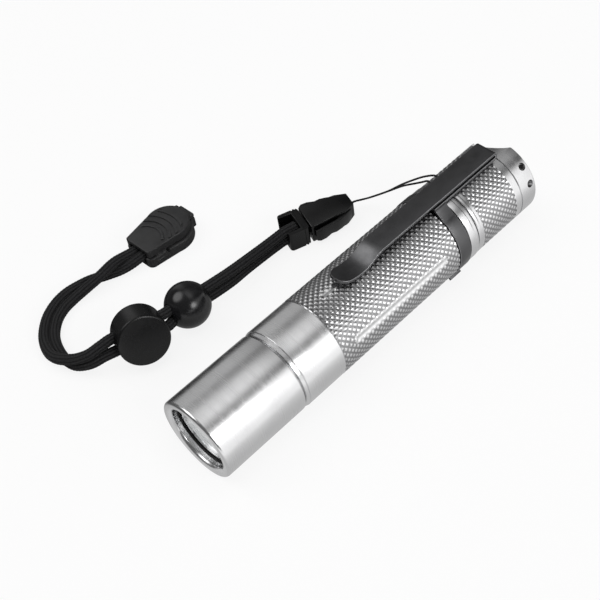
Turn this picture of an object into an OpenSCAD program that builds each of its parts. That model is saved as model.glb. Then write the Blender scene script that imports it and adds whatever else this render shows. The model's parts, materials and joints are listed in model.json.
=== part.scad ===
// Pocket flashlight for one AA cell, with a snap-on pocket clip and a wrist lanyard.
// The light lies along X with its lens towards -X and its clip up; the origin is under its middle.

/* [Head] */
// How much smaller in diameter the head is than the knurl
head_step = 0.3; // [0:0.1:0.8]
// Wall of the head round the lens
head_wall = 1.4; // [1.3:0.1:1.6]
// Length of the head shell
head_l = 22.5; // [22:0.5:28]
// Width of the front lip's ledge over the lens pocket
lip_ledge = 0.8; // [0.5:0.1:1.2]
// Thickness of the front lip
lip_t = 1.9; // [1.4:0.1:2.4]
// Rounding of the lip's outer edge
lip_round = 0.9; // [0.3:0.1:1.1]
// Thickness of the lens
lens_t = 1.6; // [1:0.1:2]
// Thickness of the gasket in front of the lens
gasket_t = 0.4; // [0.3:0.1:1]
// Width of the gasket
gasket_w = 1.05; // [1:0.05:1.4]
// Depth of the reflector
reflector_l = 9.2; // [8:0.2:9.6]
// Diameter of the hole at the back of the reflector
reflector_hole_d = 4.2; // [4:0.1:5]
// Width of the emitter package
led_w = 3.45; // [2.8:0.05:3.6]
// Thickness of the emitter's board
led_board_t = 1.2; // [0.8:0.1:1.6]
// Length of the pill
pill_l = 3.9; // [3.6:0.1:4.6]
// Thickness of the driver board
driver_t = 1; // [0.8:0.1:1.2]
// Length of the driver's contact spring
driver_spring_l = 6.2; // [4:0.2:7]

/* [Tube] */
// Wall of the tube over its threaded noses
body_wall = 1.2; // [1:0.1:2]
// Wall of the threaded noses
nose_wall = 1.55; // [1.3:0.05:1.6]
// Length of the smooth neck behind the head
neck_l = 12; // [6:0.5:16]
// Length of the knurl
knurl_l = 37.5; // [35:0.5:42]
// How much smaller in diameter the smooth neck is than the knurl
neck_step = 0.1; // [0:0.05:0.4]
// Length of the smooth band behind the clip
band_l = 2.75; // [1.5:0.25:4]
// Gap between the rear nose and the switch's retaining ring
nose_room = 0.75; // [0.5:0.05:1.5]
// Radial clearance of the threads
thread_gap = 0.08; // [0.03:0.01:0.1]
// Gap shown at both screwed seams
seam = 0.35; // [0.2:0.05:0.6]
// Number of milled flutes round the knurl
flutes = 5; // [3:1:6]
// Radius of the ball cutter of the flutes
flute_r = 0.75; // [0.5:0.05:1]
// Depth of the flutes
flute_deep = 0.35; // [0.2:0.05:0.5]
// Distance of the flutes from the ends of the knurl
flute_inset = 3.6; // [2:0.2:8]
// Section diameter of the two O-rings
o_ring_d = 0.9; // [0.7:0.1:1]

/* [Cell] */
// Length of the cell without its cap
cell_l = 49.5; // [48:0.5:50]
// Diameter of the cell
cell_d = 14.2; // [13.5:0.1:15]
// Radial clearance of the cell in the tube
cell_gap = 0.3; // [0.2:0.05:0.4]
// Height of the cell's cap
cell_cap_l = 1; // [0.8:0.1:1.4]

/* [Clip] */
// Width of the clip's ring along the tube
ring_w = 3.6; // [3:0.1:4.2]
// Sheet thickness of the clip
sheet = 0.7; // [0.5:0.05:0.8]
// Width of the clip's arm
arm_w = 5.45; // [4.6:0.05:6]
// Distance from the light's end to the clip's fold
fold_inset = 5.7; // [5:0.1:9]
// Height of the gap between the arm and the leaf
leaf_gap = 0.9; // [0.85:0.05:1.2]
// Clearance between the tube and the leaf
leaf_lift = 0.35; // [0.3:0.05:0.8]
// Half the angle of the ring's flat top
ring_top = 30; // [26:1:34]
// Angle from the top at which the ring's arms end
ring_end = 146; // [138:1:150]
// Depth of the clip's groove in the tube
groove_deep = 0.75; // [0.6:0.05:1]
// Length of the arm from the ring to the foot's end
arm_reach = 29; // [24:0.5:31]

/* [Tail] */
// How much smaller in diameter the tail cap is than the knurl
tail_step = 0.3; // [0:0.1:0.8]
// Length of the tail cap
cap_l = 20.75; // [20.5:0.25:24]
// Depth of the recess round the switch
recess_l = 5; // [4.4:0.1:5.4]
// Wall of the crown round the recess
crown_wall = 2.6; // [2.2:0.1:3]
// Thickness of the wall that holds the boot
web_t = 1.6; // [1.2:0.1:2]
// Radius of the thumb scallops
scallop_r = 6.65; // [6:0.05:8]
// Depth of the thumb scallops
scallop_deep = 4; // [2:0.1:4.2]
// Angle of the scallops from the clip
scallop_turn = -24; // [-30:1:0]
// Diameter of the lanyard holes
lanyard_hole_d = 1.9; // [1.4:0.1:2.4]
// Distance of the lanyard holes from the rim
lanyard_hole_inset = 1.7; // [1.5:0.1:2.4]
// Angle of the first lanyard hole from the clip
lanyard_hole_turn = 43; // [40:1:50]
// Angle between the two lanyard holes
lanyard_hole_step = 27; // [22:1:32]

/* [Switch] */
// Ledge between the tail cap's thread and the switch chamber
chamber_ledge = 0.75; // [0.65:0.05:0.85]
// Gap between the boot's dome and the recess
boot_room = 2; // [1.9:0.1:2.6]
// Wall of the boot
boot_wall = 0.9; // [0.6:0.1:1.1]
// Thickness of the boot's flange
flange_t = 1.2; // [0.8:0.1:1.4]
// How far the boot's top lies inside the rim
boot_inset = 2.2; // [1.6:0.1:2.8]
// Height of the switch body and its spacer
switch_h = 3.2; // [3:0.1:3.4]
// Width of the switch body
switch_w = 8.4; // [7:0.1:8.8]
// Diameter of the plunger
plunger_d = 3.7; // [3:0.1:4]
// Travel of the switch
switch_travel = 1.4; // [1:0.1:1.6]
// Thickness of the switch board
switch_board_t = 1.2; // [0.8:0.1:1.4]
// Thickness of the retaining ring
retainer_t = 1.5; // [1.2:0.1:1.6]

/* [Lanyard] */
// Diameter of the thin loop
loop_d = 0.5; // [0.4:0.05:0.6]
// Diameter of each strap cord
cord_d = 2.4; // [2:0.1:2.4]
// Spacing of the two strap cords where they lie together
cord_step = 2.5; // [2.45:0.05:2.6]
// Diameter of the bead
bead_d = 11.2; // [10:0.1:11.4]
// Diameter of the cord lock
lock_d = 12.5; // [12:0.1:12.5]
// Length of the cord lock's barrel
lock_l = 7.7; // [7.4:0.1:8.4]
// Travel of the cord lock's plunger
lock_travel = 1.5; // [1:0.1:1.6]
// Width of the buckle's lower frame
buckle_w = 7.8; // [7.2:0.1:8.4]
// Height of the buckle
buckle_h = 5.6; // [5.4:0.1:6.4]
// Length of the end clip
end_clip_l = 16.8; // [16:0.2:18]
// Width of the end clip
end_clip_w = 12.6; // [11.6:0.1:13.4]

/* [Hidden] */
fine = 96;

// Fits
slip = 0.05;
seat = 0.3;
over = 1;

// Diameters, from the cell outwards
bore_d = cell_d + 2 * cell_gap;
nose_d = bore_d + 2 * nose_wall;
body_d = nose_d + 2 * body_wall;
head_d = body_d - head_step;
lens_d = head_d - 2 * head_wall;
bezel_d = lens_d - 2 * lip_ledge;
gasket_in_d = lens_d - 2 * gasket_w;
tail_d = body_d - tail_step;
recess_d = tail_d - 2 * crown_wall;
chamber_d = nose_d - 2 * chamber_ledge;
boot_d = recess_d - 2 * boot_room;

// Stations along the light, from the front face of the head
gasket_x = lip_t;
lens_x = gasket_x + gasket_t;
reflector_x = lens_x + lens_t;
led_gasket_x = reflector_x + reflector_l;
led_gasket_t = 0.8;
led_board_x = led_gasket_x + led_gasket_t;
pill_x = led_board_x + led_board_t;
pill_end = pill_x + pill_l;
pill_floor = 1.7;
driver_x = pill_end - driver_t;
nose_x = pill_end + seat;
neck_x = head_l + seam;
knurl_x = neck_x + neck_l;
groove_x = knurl_x + knurl_l;
ring_side = 0.3;
ring_x = groove_x + ring_side;
groove_end = ring_x + ring_w + ring_side;
tube_end = groove_end + band_l;
cap_x = tube_end + seam;
light_l = cap_x + cap_l;
cell_cap_x = pill_end + driver_spring_l + seat;
cell_x = cell_cap_x + cell_cap_l;
cell_end = cell_x + cell_l;
web_end = light_l - recess_l;
web_x = web_end - web_t;
flange_x = web_x - flange_t;
board_end = flange_x - switch_h;
board_x = board_end - switch_board_t;
retainer_x = board_x - retainer_t;
tail_nose_end = retainer_x - nose_room;
tail_spring_l = board_x - cell_end - seat;

// Radii of the light
body_r = body_d / 2;
neck_r = body_r - neck_step / 2;
nose_r = nose_d / 2;
thread_r = nose_r + thread_gap;
groove_r = body_r - groove_deep;
o_ring_r = nose_r - o_ring_d / 2;
tail_r = tail_d / 2;
chamber_r = chamber_d / 2 - slip;
small_break = 0.25;

// Heights of the clip over the axis
leaf_z = max(body_r, tail_r) + leaf_lift;
arm_z = leaf_z + sheet + leaf_gap;
fold_z = leaf_z + sheet + leaf_gap / 2;
fold_r = sheet + leaf_gap / 2;
fold_x = light_l - fold_inset - fold_r;
foot_end = ring_x - arm_reach;
foot_low = foot_end + 6.2;
foot_bend = foot_low + 6.2;
foot_gap = 0.2;
foot_rise = 1.6;
ring_in = groove_r + 0.1;
ring_out = ring_in + sheet + 0.1;
lip_curl = 0.85;
lip_r = ring_out + 0.6;

// The lanyard's places and routes are given for a clip ring at this station, with the gap of the leaves
// at this height over the floor
ring_home = 72.65;
gap_home = 21.8;
lanyard_shift = ring_x - ring_home - light_l / 2;
loop_lift = (fold_z + body_r) / gap_home;

// Places on the strap: where the cords cross the lock and the bead, and how these are turned
lock_at = [12, 33.9, 6.9];
lock_turn = -18;
lock_tilt = 21;
bead_at = [25.2, 32.3, 5.8];
bead_turn = -3.4;
bead_pitch = 5.4;
cord_room = 0.3;
bead_room = 0.55;
lock_spread = 0.85;
lock_cords = 2.95;
lock_wall = 1;
lock_bore_r = 4.6;

// Places of the buckle's mouth and of the end clip's mouth, and their turns
mouth_x = 57;
mouth_y = 33;
buckle_turn = -19.5;
clip_mouth_x = 29.3;
clip_mouth_y = 56.77;
end_clip_turn = 2;

// Route of the strap from the buckle to the end clip: x, y, height, turn of the cord pair, extra spacing
strap_route = [
    [59.4, 30.9, 3.6, 80, 0], [56.2, 31.75, 3.6, 86, 0], [53, 32.05, 3.5, 90, 0], [49.2, 32.2, 3.5, 90, 0],
    [43.3, 31.95, 4.1, 86, 0], [37.4, 31.5, 4.9, 74, 0], [31, 31.9, 5.3, 69, 0], [25.2, 32.3, 5.8, 69, 0],
    [20.6, 32.3, 6.5, 69, 0.35], [17.7, 32.1, 6.9, 69, 0.85], [12, 33.9, 6.9, 69, 0.85],
    [6.3, 35.7, 6.85, 69, 0.85], [3.3, 36.8, 6.3, 70, 0.3], [0, 38.5, 5, 76, 0], [-2.5, 42.1, 3.5, 100, 0],
    [-3.4, 47.1, 2.6, 145, 0], [-1.6, 52.9, 1.9, 168, 0], [2.1, 57.3, 1.6, 170, 0], [6, 59.5, 1.6, 168, 0],
    [10, 60.2, 1.7, 168, 0], [14.4, 59.7, 2.1, 195, 0], [17, 59.1, 2.4, 215, 0], [19.2, 58.5, 2.6, 240, 0],
    [21.6, 58.1, 2.7, 270, 0], [23.8, 57.7, 2.7, 300, 0], [26.2, 57.25, 2.7, 332, 0],
    [29, 56.85, 2.8, 352, 0], [32.5, 56.9, 2.8, 360, 0], [37, 57, 2.8, 360, 0]
];

// Route of the thin loop from the buckle's tip round the clip's ring and back
loop_route = [
    [72.3, 27.7, 2.5], [75.8, 27.3, 2.55], [77.5, 26.1, 2.8], [78.8, 24.2, 3.8], [80.4, 19.4, 7.6],
    [80.7, 14.6, 12.1], [80.2, 9.9, 16.2], [80, 7.8, 18], [79.9, 5.6, 19.8], [79, 4.2, 20.4],
    [77.7, 3.3, 20.45], [76.5, 2.6, 20.2], [74.5, 2.3, 20.05], [72.6, 2.1, 20.15], [71.3, 1.6, 20.6],
    [70.7, 0.7, 21.2], [71, -0.2, 21.7], [72.2, -0.7, 21.85], [74.5, -0.5, 21.8], [77, 0.3, 21.8],
    [79.2, 1.5, 21.8], [80.7, 3.1, 21.75], [80.9, 4.6, 21.4], [80.6, 6.9, 20], [80.5, 9.4, 17.8],
    [80.6, 14.4, 12.9], [80, 19, 8.2], [78.5, 23.8, 4.35], [77.1, 25.7, 3.4], [75.5, 26.9, 3.15],
    [72.3, 27.7, 3.1]
];

// Points of an arc round a centre
function arc(c, r, from, to, n = 8) =
    [for (i = [0 : n]) let (a = from + (to - from) * i / n) c + r * [cos(a), sin(a)]];

function unit(v) = v / norm(v);

// Direction of a path at one of its points
function along(path, i) = unit(path[min(i + 1, len(path) - 1)] - path[max(i - 1, 0)]);

// Points of a coil along X, from radius r0 to radius r1
function coil(turns, r0, r1, x0, x1, rings = 12) =
    [for (i = [0 : turns * rings])
        let (t = i / (turns * rings), a = 360 * turns * t, r = r0 + (r1 - r0) * t)
        [x0 + (x1 - x0) * t, r * cos(a), r * sin(a)]];

// One of the two strap cords: the route moved to its side of the pair
function strap_path(side) =
    let (mid = [for (p = strap_route) [p[0], p[1], p[2]]])
    [for (i = [0 : len(mid) - 1])
        let (t = along(mid, i), across = unit(cross([0, 0, 1], t)), turn = strap_route[i][3])
        mid[i] + side * (cord_step + strap_route[i][4]) / 2 * (cos(turn) * across - sin(turn) * [0, 0, 1])];

// A tube swept along a path as one closed solid; up steadies its rings
module tube_along(path, r, sides, up = [0, 0, 1]) {
    n = len(path);
    rings = [for (i = [0 : n - 1])
        let (t = along(path, i), u = unit(cross(t, up)), w = cross(u, t))
        for (j = [0 : sides - 1]) path[i] + r * (cos(360 * j / sides) * u + sin(360 * j / sides) * w)];
    walls = [for (i = [0 : n - 2], j = [0 : sides - 1])
        let (a = i * sides + j, b = i * sides + (j + 1) % sides, c = a + sides, d = b + sides)
        each [[a, b, d], [a, d, c]]];
    first = [for (j = [1 : sides - 2]) [0, j + 1, j]];
    last = [for (j = [1 : sides - 2]) let (o = (n - 1) * sides) [o, o + j, o + j + 1]];
    polyhedron(points = rings, faces = concat(walls, first, last), convexity = 6);
}

// Puts what is drawn round the light's axis in its place over the floor
module light() {
    translate([-light_l / 2, 0, body_r]) children();
}

// Puts what is drawn on the floor in its place beside the light
module laid(x, y, turn = 0) {
    translate([x + lanyard_shift, y, 0]) rotate([0, 0, turn]) children();
}

// A turned piece along X from an outline of radius and station
module turned(outline) {
    rotate([0, 90, 0]) rotate_extrude($fn = fine) polygon(outline);
}

module rod(r, from, to) {
    translate([from, 0, 0]) rotate([0, 90, 0]) cylinder(r = r, h = to - from, $fn = fine);
}

module pipe(r_out, r_in, from, to) {
    difference() {
        rod(r_out, from, to);
        rod(r_in, from - over, to + over);
    }
}

// A flat outline with round corners, from x0 to x1 and as wide as w
module plate(x0, x1, w, r) {
    for (x = [x0 + r, x1 - r], y = [r - w / 2, w / 2 - r]) translate([x, y]) circle(r = r, $fn = 32);
    translate([x0 + r, -w / 2]) square([x1 - x0 - 2 * r, w]);
    translate([x0, r - w / 2]) square([x1 - x0, w - 2 * r]);
}

// A slot along X that clears the cord pair, which lies side by side along Y
module pair_slot(l, step, room = cord_room) {
    r = cord_d / 2 + room;
    translate([-l / 2, 0, 0]) rotate([90, 0, 90]) linear_extrude(l) {
        for (y = [-1, 1]) translate([y * step / 2, 0]) circle(r = r, $fn = 32);
        translate([-step / 2, -r]) square([step, 2 * r]);
    }
}

// Puts a piece on the strap: X along the cords, Y along their pair
module on_strap(at, pitch, turn) {
    translate([at[0] + lanyard_shift, at[1], at[2]]) rotate([90 - lock_tilt, pitch, turn]) children();
}

module on_lock() {
    on_strap(lock_at, 0, lock_turn) children();
}

// Head

module head_shell() {
    head_r = head_d / 2;
    inner_round = 0.5;
    color("silver") light() turned(concat(
        arc([bezel_d / 2 + inner_round, inner_round], inner_round, 180, 270),
        arc([head_r - lip_round, lip_round], lip_round, 270, 360),
        [[head_r, head_l - small_break], [head_r - small_break, head_l], [thread_r, head_l],
         [thread_r, pill_x], [lens_d / 2, pill_x], [lens_d / 2, lip_t], [bezel_d / 2, lip_t]]));
}

module bezel_gasket() {
    color("black") light() pipe(lens_d / 2 - slip, gasket_in_d / 2, gasket_x, lens_x);
}

module lens() {
    color("lightcyan", 0.4) light() rod(lens_d / 2 - slip, lens_x, reflector_x);
}

// Parabolic cup: its radius grows as the root of the distance from the vertex
module reflector() {
    front_r = bezel_d / 2;
    back_r = reflector_hole_d / 2;
    edge = 0.4;
    front_x = reflector_x + edge;
    back_x = led_gasket_x;
    spread = (front_r * front_r - back_r * back_r) / (back_x - front_x);
    vertex = back_x + back_r * back_r / spread;
    steps = 14;
    cup = [for (i = [0 : steps]) let (x = back_x + (front_x - back_x) * i / steps)
        [sqrt(spread * (vertex - x)), x]];
    rim_r = lens_d / 2 - slip;
    rim_l = 2.6;
    boss_r = 6.6;
    color("gainsboro") light() turned(concat(cup, [[front_r, reflector_x], [rim_r, reflector_x],
        [rim_r, reflector_x + rim_l], [boss_r, reflector_x + rim_l + rim_r - boss_r + 1.6],
        [boss_r, back_x]]));
}

module led_gasket() {
    hole = led_w + 2 * slip;
    ring_r = 4.4;
    color("white") light() difference() {
        rod(ring_r, led_gasket_x, led_board_x);
        translate([led_gasket_x - over, -hole / 2, -hole / 2]) cube([led_gasket_t + 2 * over, hole, hole]);
    }
}

module led_emitter() {
    base_t = led_gasket_t - 0.1;
    dome_r = led_w / 2 - 0.35;
    dome_x = led_board_x - base_t;
    color("khaki") light() {
        translate([led_board_x - base_t, -led_w / 2, -led_w / 2]) cube([base_t, led_w, led_w]);
        turned(concat([[0, dome_x + base_t / 2]], arc([0, dome_x], dome_r, 0, -90)));
    }
}

lead_r = 0.5;
lead_y = 5.2;

module led_board() {
    color("whitesmoke") light() difference() {
        rod(lens_d / 2 - 2 * slip, led_board_x, pill_x);
        for (y = [-lead_y, lead_y]) translate([0, y, 0])
            rod(lead_r + slip, led_board_x - over, pill_x + over);
    }
}

module led_leads() {
    color("firebrick") light() for (y = [-lead_y, lead_y]) translate([0, y, 0])
        rod(lead_r, led_board_x, driver_x);
}

module pill() {
    color("goldenrod") light() difference() {
        rod(nose_r, pill_x, pill_end);
        rod(bore_d / 2, pill_x + pill_floor, pill_end + over);
        for (y = [-lead_y, lead_y]) translate([0, y, 0]) rod(lead_r + 0.2, pill_x - over, pill_end);
    }
}

module driver_board() {
    color("darkgreen") light() rod(bore_d / 2 - slip, driver_x, pill_end);
}

module driver_parts() {
    low = 0.15;
    part_x = pill_x + pill_floor + low;
    part_l = driver_x - part_x;
    inductor_r = 2.1;
    inductor_z = 3.4;
    chip_w = 3.2;
    small_w = 1.4;
    small_l = 2;
    small_z = -5.2;
    small_gap = 2;
    color("dimgray") light() {
        translate([0, 0, inductor_z]) rod(inductor_r, part_x, driver_x);
        translate([part_x, -chip_w / 2, -chip_w / 2]) cube([part_l, chip_w, chip_w]);
        for (y = [-small_w - small_gap / 2, small_gap / 2]) translate([part_x + low, y, small_z])
            cube([part_l - low, small_w, small_l]);
    }
}

module driver_spring() {
    wire_r = 0.3;
    turns = 5;
    base_r = 3.2;
    tip_r = 2;
    path = coil(turns, base_r, tip_r, pill_end + wire_r, pill_end + driver_spring_l - wire_r);
    color("gold") light() tube_along(path, wire_r, 6, [1, 0, 0]);
}

// Tube

module o_ring_groove(x) {
    pipe(nose_r + over, nose_r - o_ring_d, x - o_ring_d / 2 - slip, x + o_ring_d / 2 + slip);
}

head_o_ring_x = neck_x - 0.9;
tail_o_ring_x = tube_end + 1.1;

module flute() {
    centre = body_r + flute_r - flute_deep;
    from = knurl_x + flute_inset + flute_r;
    to = groove_x - flute_inset - flute_r;
    translate([0, 0, centre]) {
        rod(flute_r, from, to);
        for (x = [from, to]) translate([x, 0, 0]) sphere(r = flute_r, $fn = 32);
    }
}

module battery_tube() {
    line = 0.15;
    color("silver") light() difference() {
        turned([[bore_d / 2, nose_x], [nose_r - small_break, nose_x], [nose_r, nose_x + small_break],
            [nose_r, neck_x], [neck_r - small_break, neck_x], [neck_r, neck_x + small_break],
            [neck_r, knurl_x - line], [neck_r - line, knurl_x], [body_r, knurl_x],
            [body_r, groove_x], [groove_r, groove_x], [groove_r, groove_end], [body_r, groove_end],
            [body_r, tube_end - small_break], [body_r - small_break, tube_end], [nose_r, tube_end],
            [nose_r, tail_nose_end - small_break], [nose_r - small_break, tail_nose_end],
            [bore_d / 2, tail_nose_end]]);
        o_ring_groove(head_o_ring_x);
        o_ring_groove(tail_o_ring_x);
        for (i = [0 : flutes - 1]) rotate([360 / flutes * i, 0, 0]) flute();
    }
}

module o_ring(x) {
    translate([x, 0, 0]) rotate([0, 90, 0]) rotate_extrude($fn = fine) translate([o_ring_r, 0])
        circle(d = o_ring_d, $fn = 24);
}

module head_o_ring() {
    color("black") light() o_ring(head_o_ring_x);
}

module tail_o_ring() {
    color("black") light() o_ring(tail_o_ring_x);
}

module battery_cell() {
    crimp = 0.3;
    crimp_x = 2.2;
    cell_r = cell_d / 2;
    color("slategray") light() turned([[0, cell_x], [cell_r - crimp, cell_x], [cell_r, cell_x + crimp],
        [cell_r, cell_x + crimp_x - crimp], [cell_r - crimp, cell_x + crimp_x],
        [cell_r, cell_x + crimp_x + crimp],
        [cell_r, cell_end - crimp], [cell_r - crimp, cell_end], [0, cell_end]]);
}

module battery_cap() {
    cap_r = 2.75;
    color("lightgray") light() rod(cap_r, cell_cap_x, cell_x);
}

// Clip

module sector(from, to, r) {
    polygon(concat([[0, 0]], [for (i = [0 : 6]) let (a = from + (to - from) * i / 6) r * [sin(a), cos(a)]]));
}

// Ring with its shoulders, which run up into the leaf, as it is seen along the tube
module ring_section() {
    far = 3 * ring_out;
    sunk = 0.1;
    root = ring_top + 3;
    low_r = ring_in + sunk;
    high_r = ring_out - sunk;
    difference() {
        circle(r = ring_out, $fn = fine);
        circle(r = ring_in, $fn = fine);
        sector(-ring_top, ring_top, far);
        sector(ring_end, 360 - ring_end, far);
    }
    for (s = [-1, 1]) {
        polygon([[s * low_r * sin(root), low_r * cos(root)], [s * high_r * sin(root), high_r * cos(root)],
            [s * (arm_w / 2 - sunk), leaf_z + sheet - sunk], [s * (arm_w / 2 - sheet), leaf_z + sunk]]);
        translate(lip_r * [s * sin(ring_end), cos(ring_end)]) circle(r = lip_curl, $fn = 32);
    }
}

// Half of the fold at the clip's end, seen from the side, below or above its middle
module fold_quarter(side) {
    intersection() {
        difference() {
            circle(r = fold_r, $fn = 64);
            circle(r = leaf_gap / 2, $fn = 64);
        }
        translate([0, side > 0 ? slip : -fold_r]) square([fold_r, fold_r - (side > 0 ? slip : 0)]);
    }
}

// Draws a side view of the clip, x along and z up, as wide as the arm
module across_arm() {
    translate([0, arm_w / 2, 0]) rotate([90, 0, 0]) linear_extrude(arm_w) children();
}

module clip_ring() {
    color("dimgray") light() {
        translate([ring_x, 0, 0]) rotate([90, 0, 90]) linear_extrude(ring_w) ring_section();
        across_arm() {
            translate([ring_x, leaf_z]) square([fold_x - ring_x, sheet]);
            translate([fold_x, fold_z]) fold_quarter(-1);
        }
    }
}

// Height of the arm's underside: level, then down to the foot and up again at its end
function arm_under(x) =
    x >= foot_bend ? arm_z
    : x >= foot_low ? foot_z + (arm_z - foot_z) * (1 - cos(180 * (x - foot_low) / (foot_bend - foot_low))) / 2
    : foot_z + foot_rise * pow((foot_low - x) / (foot_low - foot_end), 2);

foot_z = body_r + foot_gap;

module clip_arm() {
    steps = 28;
    xs = [for (i = [0 : steps]) foot_end + (foot_bend - foot_end) * i / steps];
    low = [for (x = xs) [x, arm_under(x)]];
    high = [for (i = [0 : steps]) let (x = xs[steps - i]) [x, arm_under(x) + sheet]];
    end_r = arm_w / 2;
    color("dimgray") light() intersection() {
        across_arm() {
            polygon(concat(low, [[fold_x, arm_z], [fold_x, arm_z + sheet]], high));
            translate([fold_x, fold_z]) fold_quarter(1);
        }
        linear_extrude(3 * body_r) {
            translate([foot_end + end_r, -arm_w / 2]) square([light_l - foot_end, arm_w]);
            translate([foot_end + end_r, 0]) circle(r = end_r, $fn = 48);
        }
    }
}

// Tail

module tailcap_shell() {
    edge = 0.4;
    line_w = 0.4;
    line_deep = 0.25;
    line_x = web_end - line_w;
    scallop_x = light_l - scallop_deep + scallop_r;
    hole_x = light_l - lanyard_hole_inset;
    color("silver") light() difference() {
        turned([[thread_r, cap_x], [tail_r - small_break, cap_x], [tail_r, cap_x + small_break],
            [tail_r, line_x], [tail_r - line_deep, line_x], [tail_r - line_deep, line_x + line_w],
            [tail_r, line_x + line_w], [tail_r, light_l - edge], [tail_r - edge, light_l],
            [recess_d / 2 + edge, light_l], [recess_d / 2, light_l - edge], [recess_d / 2, web_end],
            [boot_d / 2 + slip, web_end], [boot_d / 2 + slip, web_x], [chamber_r + slip, web_x],
            [chamber_r + slip, retainer_x - seat], [thread_r, retainer_x - seat]]);
        rotate([scallop_turn, 0, 0]) translate([scallop_x, 0, -tail_d])
            cylinder(r = scallop_r, h = 2 * tail_d, $fn = fine);
        for (i = [0, 1]) rotate([lanyard_hole_turn + i * lanyard_hole_step, 0, 0])
            translate([hole_x, 0, recess_d / 2 - over]) cylinder(d = lanyard_hole_d, h = tail_d, $fn = 32);
    }
}

module switch_boot() {
    top_x = light_l - boot_inset;
    round_r = 1.6;
    dome_r = boot_d / 2;
    in_r = dome_r - boot_wall;
    color("black") light() turned(concat(
        [[in_r, flange_x], [chamber_r, flange_x], [chamber_r, web_x], [dome_r, web_x]],
        arc([dome_r - round_r, top_x - round_r], round_r, 0, 90),
        [[0, top_x], [0, top_x - boot_wall], [in_r, top_x - boot_wall]]));
}

module switch_spacer() {
    color("ivory") light() pipe(chamber_r, switch_w * 0.75 + slip, board_end, flange_x);
}

module switch_body() {
    lower = 0.4;
    color("darkslategray") light() difference() {
        translate([board_end, -switch_w / 2, -switch_w / 2]) cube([switch_h - lower, switch_w, switch_w]);
        rod(plunger_d / 2 + slip, board_end - over, flange_x + over);
    }
}

module switch_plunger() {
    tip = light_l - boot_inset - boot_wall - slip;
    pad_l = 1.1;
    color("white") light() {
        rod(plunger_d / 2, board_end + switch_travel + 0.1, tip);
        rod(plunger_d / 2 + 1.5, tip - pad_l, tip);
    }
}

module switch_board() {
    color("darkgreen") light() rod(chamber_r, board_x, board_end);
}

module switch_retaining_ring() {
    spanner_r = 0.6;
    ring_in_r = 5.6;
    color("goldenrod") light() difference() {
        pipe(chamber_r, ring_in_r, retainer_x, board_x);
        for (y = [-1, 1]) translate([0, y * (chamber_r + ring_in_r) / 2, 0])
            rod(spanner_r, retainer_x - over, retainer_x + retainer_t / 2);
    }
}

module tail_spring() {
    wire_r = 0.4;
    turns = 6;
    base_r = 4.8;
    tip_r = 3;
    path = coil(turns, base_r, tip_r, board_x - wire_r, board_x - tail_spring_l + wire_r);
    color("gold") light() tube_along(path, wire_r, 6, [1, 0, 0]);
}

// Lanyard

module lanyard_loop() {
    path = [for (p = loop_route) [p[0], p[1], p[2] * loop_lift]];
    color("black") laid(0, 0) tube_along(path, loop_d / 2, 8);
}

module strap_cord_a() {
    color("black") laid(0, 0) tube_along(strap_path(1), cord_d / 2, 8);
}

module strap_cord_b() {
    color("black") laid(0, 0) tube_along(strap_path(-1), cord_d / 2, 8);
}

module bead() {
    color("black") on_strap(bead_at, bead_pitch, bead_turn) difference() {
        sphere(d = bead_d, $fn = 64);
        pair_slot(bead_d + 2 * over, cord_step, bead_room);
    }
}

// The cords cross the barrel nearer to its back, so that the spring has room in front of the plunger
lock_back = -lock_cords;
lock_front = lock_back + lock_l;

module cord_lock_barrel() {
    edge = 0.5;
    r = lock_d / 2;
    color("black") on_lock() difference() {
        rotate_extrude($fn = fine) polygon(concat(
            [[lock_bore_r, lock_back], [r - edge, lock_back], [r, lock_back + edge]],
            arc([r - edge, lock_front - edge], edge, 0, 90),
            [[0, lock_front], [0, lock_front - lock_wall], [lock_bore_r, lock_front - lock_wall]]));
        pair_slot(lock_d + 2 * over, cord_step + lock_spread);
    }
}

lock_spring_l = lock_travel + slip;
plunger_front = lock_front - lock_wall - lock_spring_l;

module cord_lock_plunger() {
    button = 2.25;
    back = lock_back - button;
    color("black") on_lock() difference() {
        translate([0, 0, back]) cylinder(r = lock_bore_r - slip, h = plunger_front - back, $fn = fine);
        for (z = [0, -lock_travel]) translate([0, 0, z]) pair_slot(lock_d, cord_step + lock_spread);
        r = cord_d / 2 + cord_room;
        slot_w = cord_step + lock_spread + 2 * r;
        translate([-lock_d / 2, -slot_w / 2, -lock_travel]) cube([lock_d, slot_w, lock_travel]);
    }
}

module cord_lock_spring() {
    wire_r = 0.2;
    turns = 2;
    coil_r = 2.4;
    path = coil(turns, coil_r, coil_r, plunger_front + wire_r, lock_front - lock_wall - wire_r);
    color("silver") on_lock() rotate([0, -90, 0]) tube_along(path, wire_r, 6, [1, 0, 0]);
}

// Buckle: the lower frame's tongue goes into the upper shell, whose side arms hold it
channel_end = 3.6;
collar_end = 5.6;
shell_x = collar_end + 0.4;
shell_end = 18.5;
tongue_w = 3.8;
tongue_h = 2.4;
tongue_end = 14;
tongue_room = 0.15;

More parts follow.
